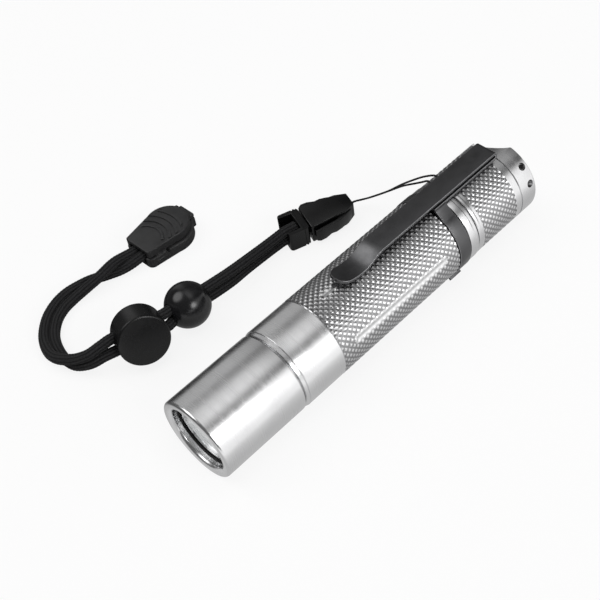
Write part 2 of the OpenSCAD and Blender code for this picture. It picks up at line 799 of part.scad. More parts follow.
// Lower frame: a channel for the cords, a ribbed collar and the tongue
module buckle_bottom() {
    corner = 0.9;
    wall = 1.1;
    floor_t = 1.1;
    line_w = 0.35;
    line_deep = 0.15;
    pin_x = 1.7;
    pin_r = 0.6;
    color("black") laid(mouth_x, mouth_y, buckle_turn) {
        difference() {
            linear_extrude(buckle_h) plate(0, collar_end, buckle_w, corner);
            translate([-over, wall - buckle_w / 2, floor_t])
                cube([channel_end + over, buckle_w - 2 * wall, buckle_h]);
            translate([pin_x, 0, floor_t + pin_r]) rotate([-90, 0, 0])
                cylinder(r = pin_r, h = buckle_w, $fn = 32);
            for (i = [0, 1]) translate([channel_end + 0.4 + 0.8 * i, 0, 0]) difference() {
                translate([0, -buckle_w, -over]) cube([line_w, 2 * buckle_w, buckle_h + 2 * over]);
                translate([-over, line_deep - buckle_w / 2, line_deep])
                    cube([line_w + 2 * over, buckle_w - 2 * line_deep, buckle_h - 2 * line_deep]);
            }
        }
        translate([collar_end - over, -tongue_w / 2, (buckle_h - tongue_h) / 2])
            cube([tongue_end - collar_end + over, tongue_w, tongue_h]);
    }
}

// Upper shell: a tapered case with a spring arm along each side and a hole for the loop in its tip
module buckle_top() {
    low = 0.2;
    arm_h = 3.4;
    arm_x = shell_x + 0.6;
    slot_end = 13;
    shell_w = buckle_w / 2 + 0.1;
    tip_w = 2.1;
    socket_w = tongue_w + 2 * tongue_room;
    socket_h = tongue_h + 2 * tongue_room;
    taper_x = shell_end - 2.9;
    hook_x = shell_end - 2.7;
    hook_end = shell_end - 0.9;
    loop_hole_r = 1.2;
    loop_hole_x = shell_end - 3.4;
    nose_x = shell_end - 2.6;
    nose_tilt = 25;
    color("black") laid(mouth_x, mouth_y, buckle_turn) difference() {
        union() {
            translate([0, 0, low]) linear_extrude(buckle_h - 2 * low) for (s = [-1, 1])
                polygon([[shell_x, 0], [shell_x, s * shell_w], [slot_end, s * (shell_w - 0.6)],
                    [taper_x, s * 3.2], [shell_end, s * tip_w], [shell_end, 0]]);
            for (s = [-1, 1]) translate([0, 0, (buckle_h - arm_h) / 2]) linear_extrude(arm_h)
                polygon([[arm_x, s * (shell_w + 0.5)], [arm_x, s * (shell_w + 1)],
                    [arm_x + 0.8, s * (shell_w + 1.5)],
                    [arm_x + 2.4, s * (shell_w + 1.4)], [arm_x + 4.2, s * (shell_w + 0.7)],
                    [arm_x + 5.6, s * (shell_w + 0.8)], [slot_end + 0.8, s * (shell_w + 0.4)],
                    [hook_x, s * 3.6], [hook_end, s * 2.6],
                    [hook_x, s * 2.4],
                    [slot_end + 0.4, s * 3], [slot_end, s * (shell_w - 0.3)]]);
        }
        translate([shell_x - over, -socket_w / 2, (buckle_h - socket_h) / 2])
            cube([tongue_end - shell_x + over + seat, socket_w, socket_h]);
        translate([loop_hole_x, 0, buckle_h / 2]) rotate([0, 90, 0])
            cylinder(r = loop_hole_r, h = shell_end - loop_hole_x + over, $fn = 32);
        translate([nose_x, -buckle_w, 0]) rotate([0, -nose_tilt, 0]) translate([0, 0, -buckle_h])
            cube([buckle_h, 2 * buckle_w, buckle_h]);
    }
}

// End clip: a base with a channel for the cords and a lid hinged at its round end
base_h = 3;
lid_gap = 0.2;
lid_h = 2.4;
hinge_x = end_clip_l + 0.6;
channel_w = cord_step + cord_d + 0.8;
channel_l = 9;
clip_front_w = 9.6;
clip_round_r = end_clip_w / 2;
clip_round_x = end_clip_l - clip_round_r;
tab_w = 5;

// Outline of the end clip: narrow at the mouth, wide and round at the hinge's tab
module clip_outline(mouth, corner, inset = 0) {
    half = clip_front_w / 2 - inset;
    round_r = clip_round_r - inset;
    side_x = mouth + corner;
    polygon([[side_x, -half], [clip_round_x, -round_r], [clip_round_x, round_r], [side_x, half]]);
    translate([mouth, corner - half]) square([corner + over, 2 * (half - corner)]);
    for (s = [-1, 1]) translate([mouth + corner, s * (half - corner)]) circle(r = corner, $fn = 32);
    translate([clip_round_x, 0]) circle(r = round_r, $fn = 64);
    translate([clip_round_x, -tab_w / 2]) square([hinge_x - clip_round_x, tab_w]);
}

module end_clip_base() {
    corner = 1.6;
    floor_t = 1.2;
    window_l = 3.4;
    window_deep = 1.2;
    window_y = clip_front_w / 2 + 0.5;
    color("black") laid(clip_mouth_x, clip_mouth_y, end_clip_turn) difference() {
        linear_extrude(base_h) clip_outline(0, corner);
        translate([-over, -channel_w / 2, floor_t]) cube([channel_l + over, channel_w, base_h]);
        for (s = [-1, 1]) translate([2.4, s * window_y - window_deep, base_h - window_deep])
            cube([window_l, 2 * window_deep, base_h]);
    }
}

// Lid with curved ridges on top
module end_clip_lid() {
    lid_x = 0.3;
    lid_inset = 0.6;
    corner = 0.5;
    roof = 1.3;
    rib_root = 0.5;
    rib_h = rib_root + 0.3;
    color("black") laid(clip_mouth_x, clip_mouth_y, end_clip_turn) translate([0, 0, base_h + lid_gap]) {
        difference() {
            linear_extrude(lid_h) clip_outline(lid_x, corner, lid_inset);
            translate([-over, -channel_w / 2, -over])
                cube([channel_l + over, channel_w, lid_h - roof + over]);
            translate([end_clip_l - 0.6, -tab_w, 1.2]) cube([2, 2 * tab_w, lid_h]);
        }
        translate([0, 0, lid_h - rib_root]) intersection() {
            translate([clip_round_x - 1.6, 0, 0]) cylinder(r = clip_round_r - 1.2, h = rib_h, $fn = 64);
            for (i = [0 : 3]) translate([clip_round_x - 8, 0, 0]) rib_ring(4.6 + 1.8 * i, 0.7, rib_h);
        }
    }
}

// The forward half of a round rib standing on Z
module rib_ring(r, w, h) {
    difference() {
        cylinder(r = r + w, h = h, $fn = 64);
        translate([0, 0, -over]) cylinder(r = r, h = h + 2 * over, $fn = 64);
        translate([-3 * r, -2 * r, -over]) cube([3 * r, 4 * r, h + 2 * over]);
    }
}

head_shell();
bezel_gasket();
lens();
reflector();
led_gasket();
led_emitter();
led_board();
led_leads();
pill();
driver_board();
driver_parts();
driver_spring();
battery_tube();
head_o_ring();
tail_o_ring();
battery_cell();
battery_cap();
clip_ring();
clip_arm();
tailcap_shell();
switch_boot();
switch_spacer();
switch_body();
switch_plunger();
switch_board();
switch_retaining_ring();
tail_spring();
lanyard_loop();
buckle_top();
buckle_bottom();
strap_cord_a();
strap_cord_b();
bead();
cord_lock_barrel();
cord_lock_plunger();
cord_lock_spring();
end_clip_base();
end_clip_lid();
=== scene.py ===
"""Pocket flashlight with a clip and a wrist lanyard: finishes, knurls, sheet metal, cords and mouldings."""
import json
import math

import bmesh
import bpy
import numpy as np
from bpy.props import FloatProperty, FloatVectorProperty, IntProperty, PointerProperty
from mathutils import Matrix, Vector


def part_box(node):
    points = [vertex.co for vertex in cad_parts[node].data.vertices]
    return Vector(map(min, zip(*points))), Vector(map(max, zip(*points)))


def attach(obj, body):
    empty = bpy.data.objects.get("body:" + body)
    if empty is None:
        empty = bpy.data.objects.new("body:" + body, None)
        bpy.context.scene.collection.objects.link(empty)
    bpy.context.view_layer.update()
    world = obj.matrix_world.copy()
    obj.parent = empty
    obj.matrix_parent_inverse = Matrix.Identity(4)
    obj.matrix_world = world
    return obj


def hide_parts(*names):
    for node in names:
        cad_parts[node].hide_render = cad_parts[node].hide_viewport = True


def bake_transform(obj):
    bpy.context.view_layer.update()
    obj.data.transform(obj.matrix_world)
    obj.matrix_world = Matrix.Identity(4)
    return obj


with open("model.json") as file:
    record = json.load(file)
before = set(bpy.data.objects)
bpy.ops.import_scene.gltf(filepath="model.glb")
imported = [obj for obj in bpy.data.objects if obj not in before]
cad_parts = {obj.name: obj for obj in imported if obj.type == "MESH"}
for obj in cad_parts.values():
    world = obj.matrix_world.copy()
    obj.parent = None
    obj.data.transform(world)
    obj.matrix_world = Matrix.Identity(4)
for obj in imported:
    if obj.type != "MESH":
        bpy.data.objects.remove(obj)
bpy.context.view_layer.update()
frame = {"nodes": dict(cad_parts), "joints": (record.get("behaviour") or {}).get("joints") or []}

bl_info = {
    "name": "Pocket flashlight",
    "version": (1, 0, 0),
    "blender": (4, 5, 0),
    "location": "3D View > Sidebar > Flashlight",
    "description": "Dresses the solids of a pocket flashlight and its lanyard",
    "category": "Add Mesh",
}

MM = 0.001
TURN = 2 * math.pi

# Places along the light in millimetres from the front face of the head, read from the solids
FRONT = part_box("head_shell")[0].x
AXIS_Z = (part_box("battery_tube")[0].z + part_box("battery_tube")[1].z) / 2


def station(x):
    """Millimetres from the front face of the head."""
    return (x - FRONT) / MM


def radius_of(node):
    """Outer radius of a round node on the light's axis, in millimetres."""
    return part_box(node)[1].y / MM


HEAD_END = station(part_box("head_shell")[1].x)
HEAD_R = radius_of("head_shell")
BODY_R = radius_of("battery_tube")
TAIL_R = radius_of("tailcap_shell")
NOSE_X, TUBE_NOSE_END = (station(c.x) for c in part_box("battery_tube"))
RING_X, CLIP_END = (station(c.x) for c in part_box("clip_ring"))
CAP_X, LIGHT_L = (station(c.x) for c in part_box("tailcap_shell"))
FOOT_END = station(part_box("clip_arm")[0].x)
ARM_TOP = (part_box("clip_arm")[1].z - AXIS_Z) / MM
ARM_W = (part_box("clip_arm")[1].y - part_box("clip_arm")[0].y) / MM

# Sizes of the turned pieces that the solids share, in millimetres
SEAM = 0.35
NECK_L = 12.0
NECK_STEP = 0.05
KNURL_L = 37.5
KNURL_POCKET = 0.5
KNURL_WALL = 0.45
GROOVE_DEEP = 0.75
RING_SIDE = 0.3
RING_W = 3.6
BAND_L = 2.75
NOSE_R = 8.95
BORE_R = 7.4
THREAD_R = 9.03
SHEET = 0.7
LEAF_GAP = 0.9
NECK_X = HEAD_END + SEAM
KNURL_X = NECK_X + NECK_L
KNURL_END = KNURL_X + KNURL_L
GROOVE_END = RING_X + RING_W + RING_SIDE
TUBE_END = GROOVE_END + BAND_L
TAIL_KNURL_X = CAP_X + 1.7
TAIL_KNURL_END = CAP_X + 13.5

# Route of the strap from the buckle to the end clip, in metres from the front of the head on the floor:
# x, y, height, turn of the cord pair in degrees, extra spacing of the pair
STRAP_ROUTE = [
    (0.0594, 0.0309, 0.0036, 80, 0), (0.0562, 0.03175, 0.0036, 86, 0), (0.0530, 0.03205, 0.0035, 90, 0),
    (0.0492, 0.0322, 0.0035, 90, 0), (0.0433, 0.03195, 0.0041, 86, 0), (0.0374, 0.0315, 0.0049, 74, 0),
    (0.0310, 0.0319, 0.0053, 69, 0), (0.0252, 0.0323, 0.0058, 69, 0), (0.0206, 0.0323, 0.0065, 69, 0.00035),
    (0.0177, 0.0321, 0.0069, 69, 0.00085), (0.0120, 0.0339, 0.0069, 69, 0.00085),
    (0.0063, 0.0357, 0.00685, 69, 0.00085), (0.0033, 0.0368, 0.0063, 70, 0.0003),
    (0.0, 0.0385, 0.0050, 76, 0), (-0.0025, 0.0421, 0.0035, 100, 0), (-0.0034, 0.0471, 0.0026, 145, 0),
    (-0.0016, 0.0529, 0.0019, 168, 0), (0.0021, 0.0573, 0.0016, 170, 0), (0.0060, 0.0595, 0.0016, 168, 0),
    (0.0100, 0.0602, 0.0017, 168, 0), (0.0144, 0.0597, 0.0021, 195, 0), (0.0170, 0.0591, 0.0024, 215, 0),
    (0.0192, 0.0585, 0.0026, 240, 0), (0.0216, 0.0581, 0.0027, 270, 0), (0.0238, 0.0577, 0.0027, 300, 0),
    (0.0262, 0.05725, 0.0027, 332, 0), (0.0290, 0.05685, 0.0028, 352, 0), (0.0325, 0.0569, 0.0028, 360, 0),
    (0.0370, 0.0570, 0.0028, 360, 0),
]
STRAP_SPACING = 0.0025
STRAP_CORD_D = 0.0024

# Route of the thin loop from the buckle's tip round the clip's ring and back, in metres as above
LOOP_ROUTE = [
    (0.0723, 0.0277, 0.0025), (0.0758, 0.0273, 0.00255), (0.0775, 0.0261, 0.0028), (0.0788, 0.0242, 0.0038),
    (0.0804, 0.0194, 0.0076), (0.0807, 0.0146, 0.0121), (0.0802, 0.0099, 0.0162), (0.08, 0.0078, 0.018),
    (0.0799, 0.0056, 0.0198), (0.079, 0.0042, 0.0204), (0.0777, 0.0033, 0.02045), (0.0765, 0.0026, 0.0202),
    (0.0745, 0.0023, 0.02005), (0.0726, 0.0021, 0.02015), (0.0713, 0.0016, 0.0206), (0.0707, 0.0007, 0.0212),
    (0.071, -0.0002, 0.0217), (0.0722, -0.0007, 0.02185), (0.0745, -0.0005, 0.0218), (0.077, 0.0003, 0.0218),
    (0.0792, 0.0015, 0.0218), (0.0807, 0.0031, 0.02175), (0.0809, 0.0046, 0.0214), (0.0803, 0.0066, 0.0204),
    (0.0799, 0.0089, 0.0186), (0.0797, 0.0136, 0.0141), (0.0792, 0.0182, 0.0093), (0.0782, 0.0234, 0.0048),
    (0.0771, 0.0257, 0.0034), (0.0755, 0.0269, 0.00315), (0.0723, 0.0277, 0.0031),
]
LOOP_D = 0.0005

# Camera of the photograph: place in metres, and the directions of its right and upper side
CAMERA_PLACE = Vector((-0.1081, -0.1199, 0.2011))
CAMERA_RIGHT = Vector((0.7015, -0.7032, -0.1158))
CAMERA_UP = Vector((0.5947, 0.4880, 0.6389))
CAMERA_LENS = 67.0


# Sizes and colours that a user can change

def length_property(name, description, millimetres):
    return FloatProperty(name=name, description=description, default=millimetres * MM, unit="LENGTH")


def count_property(name, description, value):
    return IntProperty(name=name, description=description, default=value)


def colour_property(name, description, value):
    return FloatVectorProperty(
        name=name, description=description, default=(*value, 1.0), size=4, subtype="COLOR", min=0, max=1)


class FlashlightShapes(bpy.types.PropertyGroup):
    """Sizes of the fine shapes."""
    knurl_depth: length_property("Knurl depth", "Depth of the knurl's grooves", 0.2)
    knurl_slope: FloatProperty(
        name="Knurl slope", description="Width of a groove's flank as a share of the pitch", default=0.29)
    knurl_around: count_property("Diamonds around", "Diamonds round the tube", 40)
    knurl_samples: count_property("Samples per diamond", "Grid cells along a diamond's diagonal", 8)
    flutes: count_property("Flutes", "Milled flutes in the tube's knurl", 5)
    flute_radius: length_property("Flute radius", "Radius of the flutes' cutter", 1.2)
    flute_depth: length_property("Flute depth", "Depth of the flutes", 0.24)
    flute_inset: length_property("Flute inset", "Distance of the flutes from the knurl's ends", 3.6)
    braid_columns: count_property("Braid columns", "Columns of stitches round a strap cord", 10)
    stitch: length_property("Stitch length", "Length of one stitch of the braid", 0.8)
    braid_deep: length_property("Braid depth", "Height of the braid's strands", 0.2)
    mould_round: length_property("Moulded edge", "Rounding of the moulded pieces' edges", 0.35)
    sheet_round: length_property("Sheet edge", "Rounding of the clip's edges", 0.14)


class FlashlightColours(bpy.types.PropertyGroup):
    """Colours of the finishes, and of the painted shade and highlights."""
    metal: colour_property("Bare metal", "Turned aluminium", (0.80, 0.80, 0.805))
    metal_worn: colour_property("Handled metal", "Aluminium where it is handled", (0.66, 0.66, 0.67))
    # Painted shade: this colour darkens the knurl's grooves.
    groove: colour_property("Knurl grooves", "Painted shade in the knurl's grooves", (0.31, 0.31, 0.315))
    clip: colour_property("Clip coat", "Dark coat of the clip", (0.116, 0.116, 0.119))
    # Painted highlight: this colour lightens the clip's rounded edges.
    clip_edge: colour_property("Clip edges", "Painted highlight along the clip's edges", (0.34, 0.34, 0.35))
    cord: colour_property("Cord", "Braided cord", (0.004, 0.004, 0.0043))
    # Painted highlight: this colour lightens the tops of the cord's strands.
    cord_light: colour_property("Cord highlights", "Tops of the cord's strands", (0.030, 0.030, 0.031))
    moulded_plastic: colour_property("Moulded plastic", "Buckle and cord lock", (0.0022, 0.0022, 0.0024))
    matt_plastic: colour_property("Matt plastic", "Clip at the cord's ends", (0.018, 0.018, 0.0184))
    bead: colour_property("Bead", "Glossy bead", (0.006, 0.006, 0.0065))
    rubber: colour_property("Rubber", "Boot, gasket and O-rings", (0.015, 0.015, 0.015))
    floor: colour_property("Floor", "Pale floor", (0.90, 0.90, 0.90))


def chosen(name):
    """A colour as the user has set it."""
    return tuple(getattr(bpy.context.scene.flashlight_colours, name))


# Meshes

def at(x, y, z):
    """A place on the light in metres: x from the head's front, y and z from the axis, in millimetres."""
    return Vector((FRONT + x * MM, y * MM, AXIS_Z + z * MM))


def piece_of(name, mesh, material, sharp):
    """An object for a mesh, with its points merged, outward faces, and edges sharp from an angle on."""
    closed = bmesh.new()
    closed.from_mesh(mesh)
    bmesh.ops.remove_doubles(closed, verts=closed.verts, dist=1e-7)
    bmesh.ops.recalc_face_normals(closed, faces=closed.faces)
    closed.to_mesh(mesh)
    closed.free()
    mesh.shade_smooth()
    mesh.set_sharp_from_angle(angle=math.radians(sharp))
    mesh.materials.clear()
    mesh.materials.append(material)
    piece = bpy.data.objects.new(name, mesh)
    bpy.context.scene.collection.objects.link(piece)
    return piece


def piece_from(name, points, faces, material, sharp, masks=None):
    """A piece from points and faces; a mask holds a value for each point."""
    mesh = bpy.data.meshes.new(name)
    mesh.from_pydata([tuple(p) for p in points], [], faces)
    for key, values in (masks or {}).items():
        layer = mesh.attributes.new(key, "FLOAT", "POINT")
        layer.data.foreach_set("value", np.ravel(values).astype(np.float32))
    return piece_of(name, mesh, material, sharp)


def loft_faces(rings, sides, closed_path=False):
    """Quads between neighbouring rings of points, with the ends of an open path closed."""
    faces = []
    for i in range(rings if closed_path else rings - 1):
        here, there = i * sides, (i + 1) % rings * sides
        for j in range(sides):
            k = (j + 1) % sides
            faces.append((here + j, here + k, there + k, there + j))
    if not closed_path:
        faces.append(tuple(range(sides)))
        faces.append(tuple(range((rings - 1) * sides, rings * sides)))
    return faces


def lathe(name, outline, material, segments=192, sharp=28):
    """A turned piece from a closed outline of station and radius in millimetres."""
    angles = np.arange(segments) * TURN / segments
    points = [at(x, r * math.sin(a), r * math.cos(a)) for x, r in outline for a in angles]
    return piece_from(name, points, loft_faces(len(outline), segments, closed_path=True), material, sharp)


def arc(x, r, radius, start, end, steps=8):
    """Points of a round edge in a turned outline, angles in degrees from the tail's direction."""
    return [(x + radius * math.cos(math.radians(a)), r + radius * math.sin(math.radians(a)))
            for a in np.linspace(start, end, steps + 1)]


def front_edge(x, r, rounding, steps=4):
    """Round outer edge where a turned step begins."""
    return arc(x + rounding, r - rounding, rounding, 180, 90, steps)


def back_edge(x, r, rounding, steps=4):
    """Round outer edge where a turned step ends."""
    return arc(x - rounding, r - rounding, rounding, 90, 0, steps)


def scribed(x, r):
    """A fine line turned into a smooth stretch."""
    half_w, deep = 0.1, 0.08
    return [(x - half_w, r), (x, r - deep), (x + half_w, r)]


def smooth_path(points, step):
    """Evenly spaced points on a smooth curve through the given ones, and its length."""
    p = np.array(points, float)
    p = np.vstack([2 * p[0] - p[1], p, 2 * p[-1] - p[-2]])
    fine = []
    share = np.linspace(0, 1, 24, endpoint=False)[:, None]
    for i in range(1, len(p) - 2):
        m0, m1 = (p[i + 1] - p[i - 1]) / 2, (p[i + 2] - p[i]) / 2
        fine.append((2 * share**3 - 3 * share**2 + 1) * p[i] + (share**3 - 2 * share**2 + share) * m0
                    + (-2 * share**3 + 3 * share**2) * p[i + 1] + (share**3 - share**2) * m1)
    fine = np.vstack(fine + [p[-2:-1]])
    run = np.concatenate([[0], np.cumsum(np.linalg.norm(np.diff(fine, axis=0), axis=1))])
    marks = np.linspace(0, run[-1], max(int(run[-1] / step), 2) + 1)
    return np.stack([np.interp(marks, run, fine[:, k]) for k in range(3)], axis=1), run[-1]


def steady_frames(path, up=(0, 0, 1)):
    """Two directions across a path at each of its points, carried along without twist."""
    tangent = np.gradient(path, axis=0)
    tangent /= np.linalg.norm(tangent, axis=1)[:, None]
    side = np.cross(tangent[0], np.array(up, float))
    if np.linalg.norm(side) < 1e-6:
        side = np.cross(tangent[0], np.array((0, 1.0, 0)))
    sides = []
    for t in tangent:
        side = side - t * (side @ t)
        side = side / np.linalg.norm(side)
        sides.append(side)
    sides = np.array(sides)
    return sides, np.cross(sides, tangent)


def tube(name, path, radii, material, up=(0, 0, 1), masks=None):
    """A round tube along a path; radii and masks have a row per path point and a column per side."""
    side, over = steady_frames(path, up)
    sides = radii.shape[1]
    angle = np.arange(sides)[None, :, None] * TURN / sides
    ring = np.cos(angle) * side[:, None, :] + np.sin(angle) * over[:, None, :]
    points = (path[:, None, :] + radii[:, :, None] * ring).reshape(-1, 3)
    return piece_from(name, points.tolist(), loft_faces(len(path), sides), material, 60, masks)


def evaluated_mesh(piece):
    """A plain mesh of a piece with its modifiers, which are then removed."""
    bpy.context.view_layer.update()
    graph = bpy.context.evaluated_depsgraph_get()
    mesh = bpy.data.meshes.new_from_object(piece.evaluated_get(graph))
    piece.modifiers.clear()
    return mesh


# Rounded mouldings

# Shares of a face's width and of a curve's radius that a rounding may take up, and its least width
FACE_SHARE = 0.45
CURVE_SHARE = 0.7
LEAST_ROUND = 0.12 * MM
# Angles in radians: turn that parts two runs of edges, least bend of an outer edge, and bend of a fold
RUN_TURN = 0.9
OUTER_BEND = math.radians(50)
FOLD_BEND = 2.6


def edge_run(first, rest, outer):
    """Takes a smooth run of outer edges out of the rest, with the widest rounding that has room."""
    run, queue, room = [], [first], 1.0
    while queue:
        edge = queue.pop()
        run.append(edge)
        start, end = (v.co for v in edge.verts)
        along = (end - start).normalized()
        for face in edge.link_faces:
            width = max((v.co - start - along * (v.co - start).dot(along)).length for v in face.verts)
            room = min(room, FACE_SHARE * width)
        for vertex in edge.verts:
            for other in vertex.link_edges:
                if other == edge or other not in outer:
                    continue
                turn = along.angle(other.other_vert(vertex).co - vertex.co)
                turn = min(turn, math.pi - turn)
                if turn < RUN_TURN:
                    shorter = min(edge.calc_length(), other.calc_length())
                    room = min(room, CURVE_SHARE * shorter / max(turn, 1e-4))
                    if other in rest:
                        rest.remove(other)
                        queue.append(other)
    return run, room


def fold_corners(mesh):
    """The corners of the places where a mesh turns back on itself."""
    test = bmesh.new()
    test.from_mesh(mesh)
    bmesh.ops.triangulate(test, faces=test.faces)
    corners = []
    for edge in test.edges:
        smallest = min(face.calc_area() for face in edge.link_faces)
        if smallest > 1e-9 and edge.calc_face_angle(math.pi) > FOLD_BEND:
            corners += [v.co.copy() for v in edge.verts]
    test.free()
    return corners


def is_near(corner, edge, reach):
    """Whether a point lies within reach of an edge."""
    start, end = (v.co for v in edge.verts)
    along = end - start
    share = (corner - start).dot(along) / along.length_squared
    return (start + along * min(max(share, 0.0), 1.0) - corner).length < reach


def bevelled(work, width):
    """A mesh of the work with its weighted edges rounded."""
    bevel = work.modifiers.new("edges", "BEVEL")
    bevel.width = width
    bevel.segments = 3
    bevel.limit_method = "WEIGHT"
    bevel.use_clamp_overlap = False
    return evaluated_mesh(work)


def moulded(node, material, edge):
    """A copy of a node's solid with rounded outer edges, eased until no rounding folds."""
    mesh = frame["nodes"][node].data.copy()
    clean = bmesh.new()
    clean.from_mesh(mesh)
    bmesh.ops.remove_doubles(clean, verts=clean.verts, dist=2e-6)
    bmesh.ops.dissolve_limit(clean, angle_limit=math.radians(1), verts=clean.verts, edges=clean.edges)
    bmesh.ops.recalc_face_normals(clean, faces=clean.faces)
    weight = clean.edges.layers.float.new("bevel_weight_edge")
    outer = {e for e in clean.edges if e.is_manifold and e.calc_face_angle_signed() > OUTER_BEND}
    rest, runs = set(outer), []
    while rest:
        run, room = edge_run(rest.pop(), rest, outer)
        runs.append([run, min(room, edge)])
    clean.to_mesh(mesh)
    own = fold_corners(mesh)
    work = bpy.data.objects.new(node + "_work", mesh)
    bpy.context.scene.collection.objects.link(work)
    most_tries, easing, reach = 10, 0.7, 1.6 * edge
    for attempt in range(most_tries):
        for run, width in runs:
            for item in run:
                item[weight] = width / edge if width > LEAST_ROUND else 0.0
        clean.to_mesh(mesh)
        made = bevelled(work, edge)
        corners = [c for c in fold_corners(made) if all((c - o).length > 2 * edge for o in own)]
        if not corners:
            break
        for entry in runs:
            if any(is_near(corner, item, reach) for item in entry[0] for corner in corners):
                entry[1] *= easing
    clean.free()
    bpy.data.objects.remove(work)
    return piece_of(node + "_moulded", made, material, sharp=35)


# Places on the frame

def stand_for(piece, body, slot, *nodes):
    """Puts a finished piece on its body in place of its solids."""
    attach(piece, body)
    if nodes:
        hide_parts(*nodes)
    return piece


def dress(node, material):
    """Gives a solid that stays its finish."""
    solid = frame["nodes"][node]
    solid.data.materials.clear()
    solid.data.materials.append(material)


# Node trees

class Net:
    """Short ways to build a node tree."""

    def __init__(self, tree):
        self.tree = tree

    def add(self, kind, inputs=None, **settings):
        node = self.tree.nodes.new(kind)
        for key, value in settings.items():
            setattr(node, key, value)
        for key, value in (inputs or {}).items():
            self.feed(node.inputs[key], value)
        return node

    def feed(self, socket, value):
        if isinstance(value, bpy.types.NodeSocket):
            self.tree.links.new(value, socket)
        else:
            socket.default_value = value

    def math(self, operation, *values):
        node = self.add("ShaderNodeMath", operation=operation)
        for socket, value in zip(node.inputs, values):
            self.feed(socket, value)
        return node.outputs[0]

    def plus(self, first, second):
        return self.math("ADD", first, second)

    def less(self, first, second):
        return self.math("SUBTRACT", first, second)

    def times(self, first, second):
        return self.math("MULTIPLY", first, second)

    def linear(self, value, slope, start):
        return self.math("MULTIPLY_ADD", value, slope, start)

    def span(self, value, low, high):
        """A value from 0 to 1 stretched from low to high."""
        return self.linear(value, high - low, low)

    def clamp(self, value):
        """A value held between 0 and 1."""
        return self.add("ShaderNodeClamp", {"Value": value}).outputs[0]

    def choose(self, share, first, second):
        """A value between two, by a share."""
        return self.add("ShaderNodeMix", {0: share, 2: first, 3: second}).outputs[0]

    def blend(self, share, first, second):
        """A colour between two, by a varying share."""
        return self.add("ShaderNodeMix", {0: share, 6: first, 7: second}, data_type="RGBA").outputs[2]

    def place(self, kind="Object"):
        """The three coordinates of a place on a piece, or of a direction in the world."""
        return self.add("ShaderNodeSeparateXYZ", {0: self.add("ShaderNodeTexCoord").outputs[kind]}).outputs

    def surface(self, shader, base, rough, **constants):
        """Gives a shader its colour and roughness, and its constants by the names of their sockets."""
        self.feed(shader.inputs["Base Color"], base)
        self.feed(shader.inputs["Roughness"], rough)
        for key, value in constants.items():
            shader.inputs[key.replace("_", " ")].default_value = value

    def bump(self, shader, height, strength, deep=0.02):
        """Adds a relief to a shader's normal, with its depth in millimetres."""
        node = self.add("ShaderNodeBump", {"Height": height, "Strength": strength, "Distance": deep * MM})
        self.feed(shader.inputs["Normal"], node.outputs["Normal"])


def built_once(build):
    """Lets a node group's builder give back the group that it has built before."""
    return lambda: bpy.data.node_groups.get(build.__name__) or build(build.__name__)


def shader_group(name, inputs, outputs):
    """An empty shader group with named sockets."""
    tree = bpy.data.node_groups.new(name, "ShaderNodeTree")
    for key, value in inputs.items():
        socket = tree.interface.new_socket(name=key, in_out="INPUT", socket_type="NodeSocketFloat")
        socket.default_value = value
    for key in outputs:
        tree.interface.new_socket(name=key, in_out="OUTPUT", socket_type="NodeSocketFloat")
    net = Net(tree)
    return net, net.add("NodeGroupInput").outputs, net.add("NodeGroupOutput").inputs


@built_once
def turning_marks(name):
    """Fine rings that a turning tool leaves round the X axis."""
    net, given, made = shader_group(name, {"Rings": 9000.0}, ["Marks", "Height"])
    along = net.times(net.place()["X"], given["Rings"])
    fine, broad = (
        net.add("ShaderNodeTexNoise", {"W": where, "Scale": 1.0, "Detail": detail}, noise_dimensions="1D")
        for where, detail in ((along, 3.0), (net.times(along, 0.06), 2.0)))
    net.feed(made["Height"], fine.outputs["Fac"])
    net.feed(made["Marks"], net.times(fine.outputs["Fac"], broad.outputs["Fac"]))
    return net.tree


@built_once
def handling(name):
    """Soft patches where a surface has been touched."""
    net, given, made = shader_group(name, {"Scale": 130.0, "Sharpness": 2.2}, ["Patches"])
    place = net.add("ShaderNodeTexCoord").outputs["Object"]
    noise = net.add("ShaderNodeTexNoise", {"Vector": place, "Scale": given["Scale"], "Detail": 5.0})
    raised = net.times(net.less(noise.outputs["Fac"], 0.5), given["Sharpness"])
    net.feed(made["Patches"], net.clamp(net.plus(raised, 0.5)))
    return net.tree


@built_once
def grain(name):
    """Fine grain of a cast, moulded or spun surface."""
    net, given, made = shader_group(name, {"Scale": 3200.0}, ["Height"])
    place = net.add("ShaderNodeTexCoord").outputs["Object"]
    noise = net.add("ShaderNodeTexNoise", {"Vector": place, "Scale": given["Scale"], "Detail": 3.0})
    net.feed(made["Height"], noise.outputs["Fac"])
    return net.tree


# Finishes

def new_material(name):
    """A material with its net and its shader."""
    material = bpy.data.materials.new(name)
    material.use_nodes = True
    return material, Net(material.node_tree), material.node_tree.nodes["Principled BSDF"]


def group_outputs(net, tree, **values):
    """The outputs of a shared group that is placed with its own values."""
    node = net.add("ShaderNodeGroup", node_tree=tree)
    for key, value in values.items():
        node.inputs[key].default_value = value
    return node.outputs


def patches(net, scale, sharpness=2.2):
    return group_outputs(net, handling(), Scale=scale, Sharpness=sharpness)["Patches"]


def grains(net, scale):
    return group_outputs(net, grain(), Scale=scale)["Height"]


def mark(net, name):
    """A mask that a mesh carries."""
    return net.add("ShaderNodeAttribute", attribute_name=name).outputs["Fac"]


def lighter(colour, times):
    """A colour some times as light."""
    return tuple(min(c * times, 1.0) for c in colour[:3])


def turned_metal(name):
    """Bare aluminium with turning marks."""
    material, net, shader = new_material(name)
    rings = group_outputs(net, turning_marks(), Rings=9000.0)
    touched = patches(net, 130.0)
    base = net.blend(net.times(touched, 0.45), chosen("metal"), chosen("metal_worn"))
    rough = net.linear(touched, 0.05, net.linear(rings["Marks"], 0.22, 0.17))
    net.surface(shader, base, rough, Metallic=1.0)
    net.bump(shader, rings["Height"], 0.10)
    return material


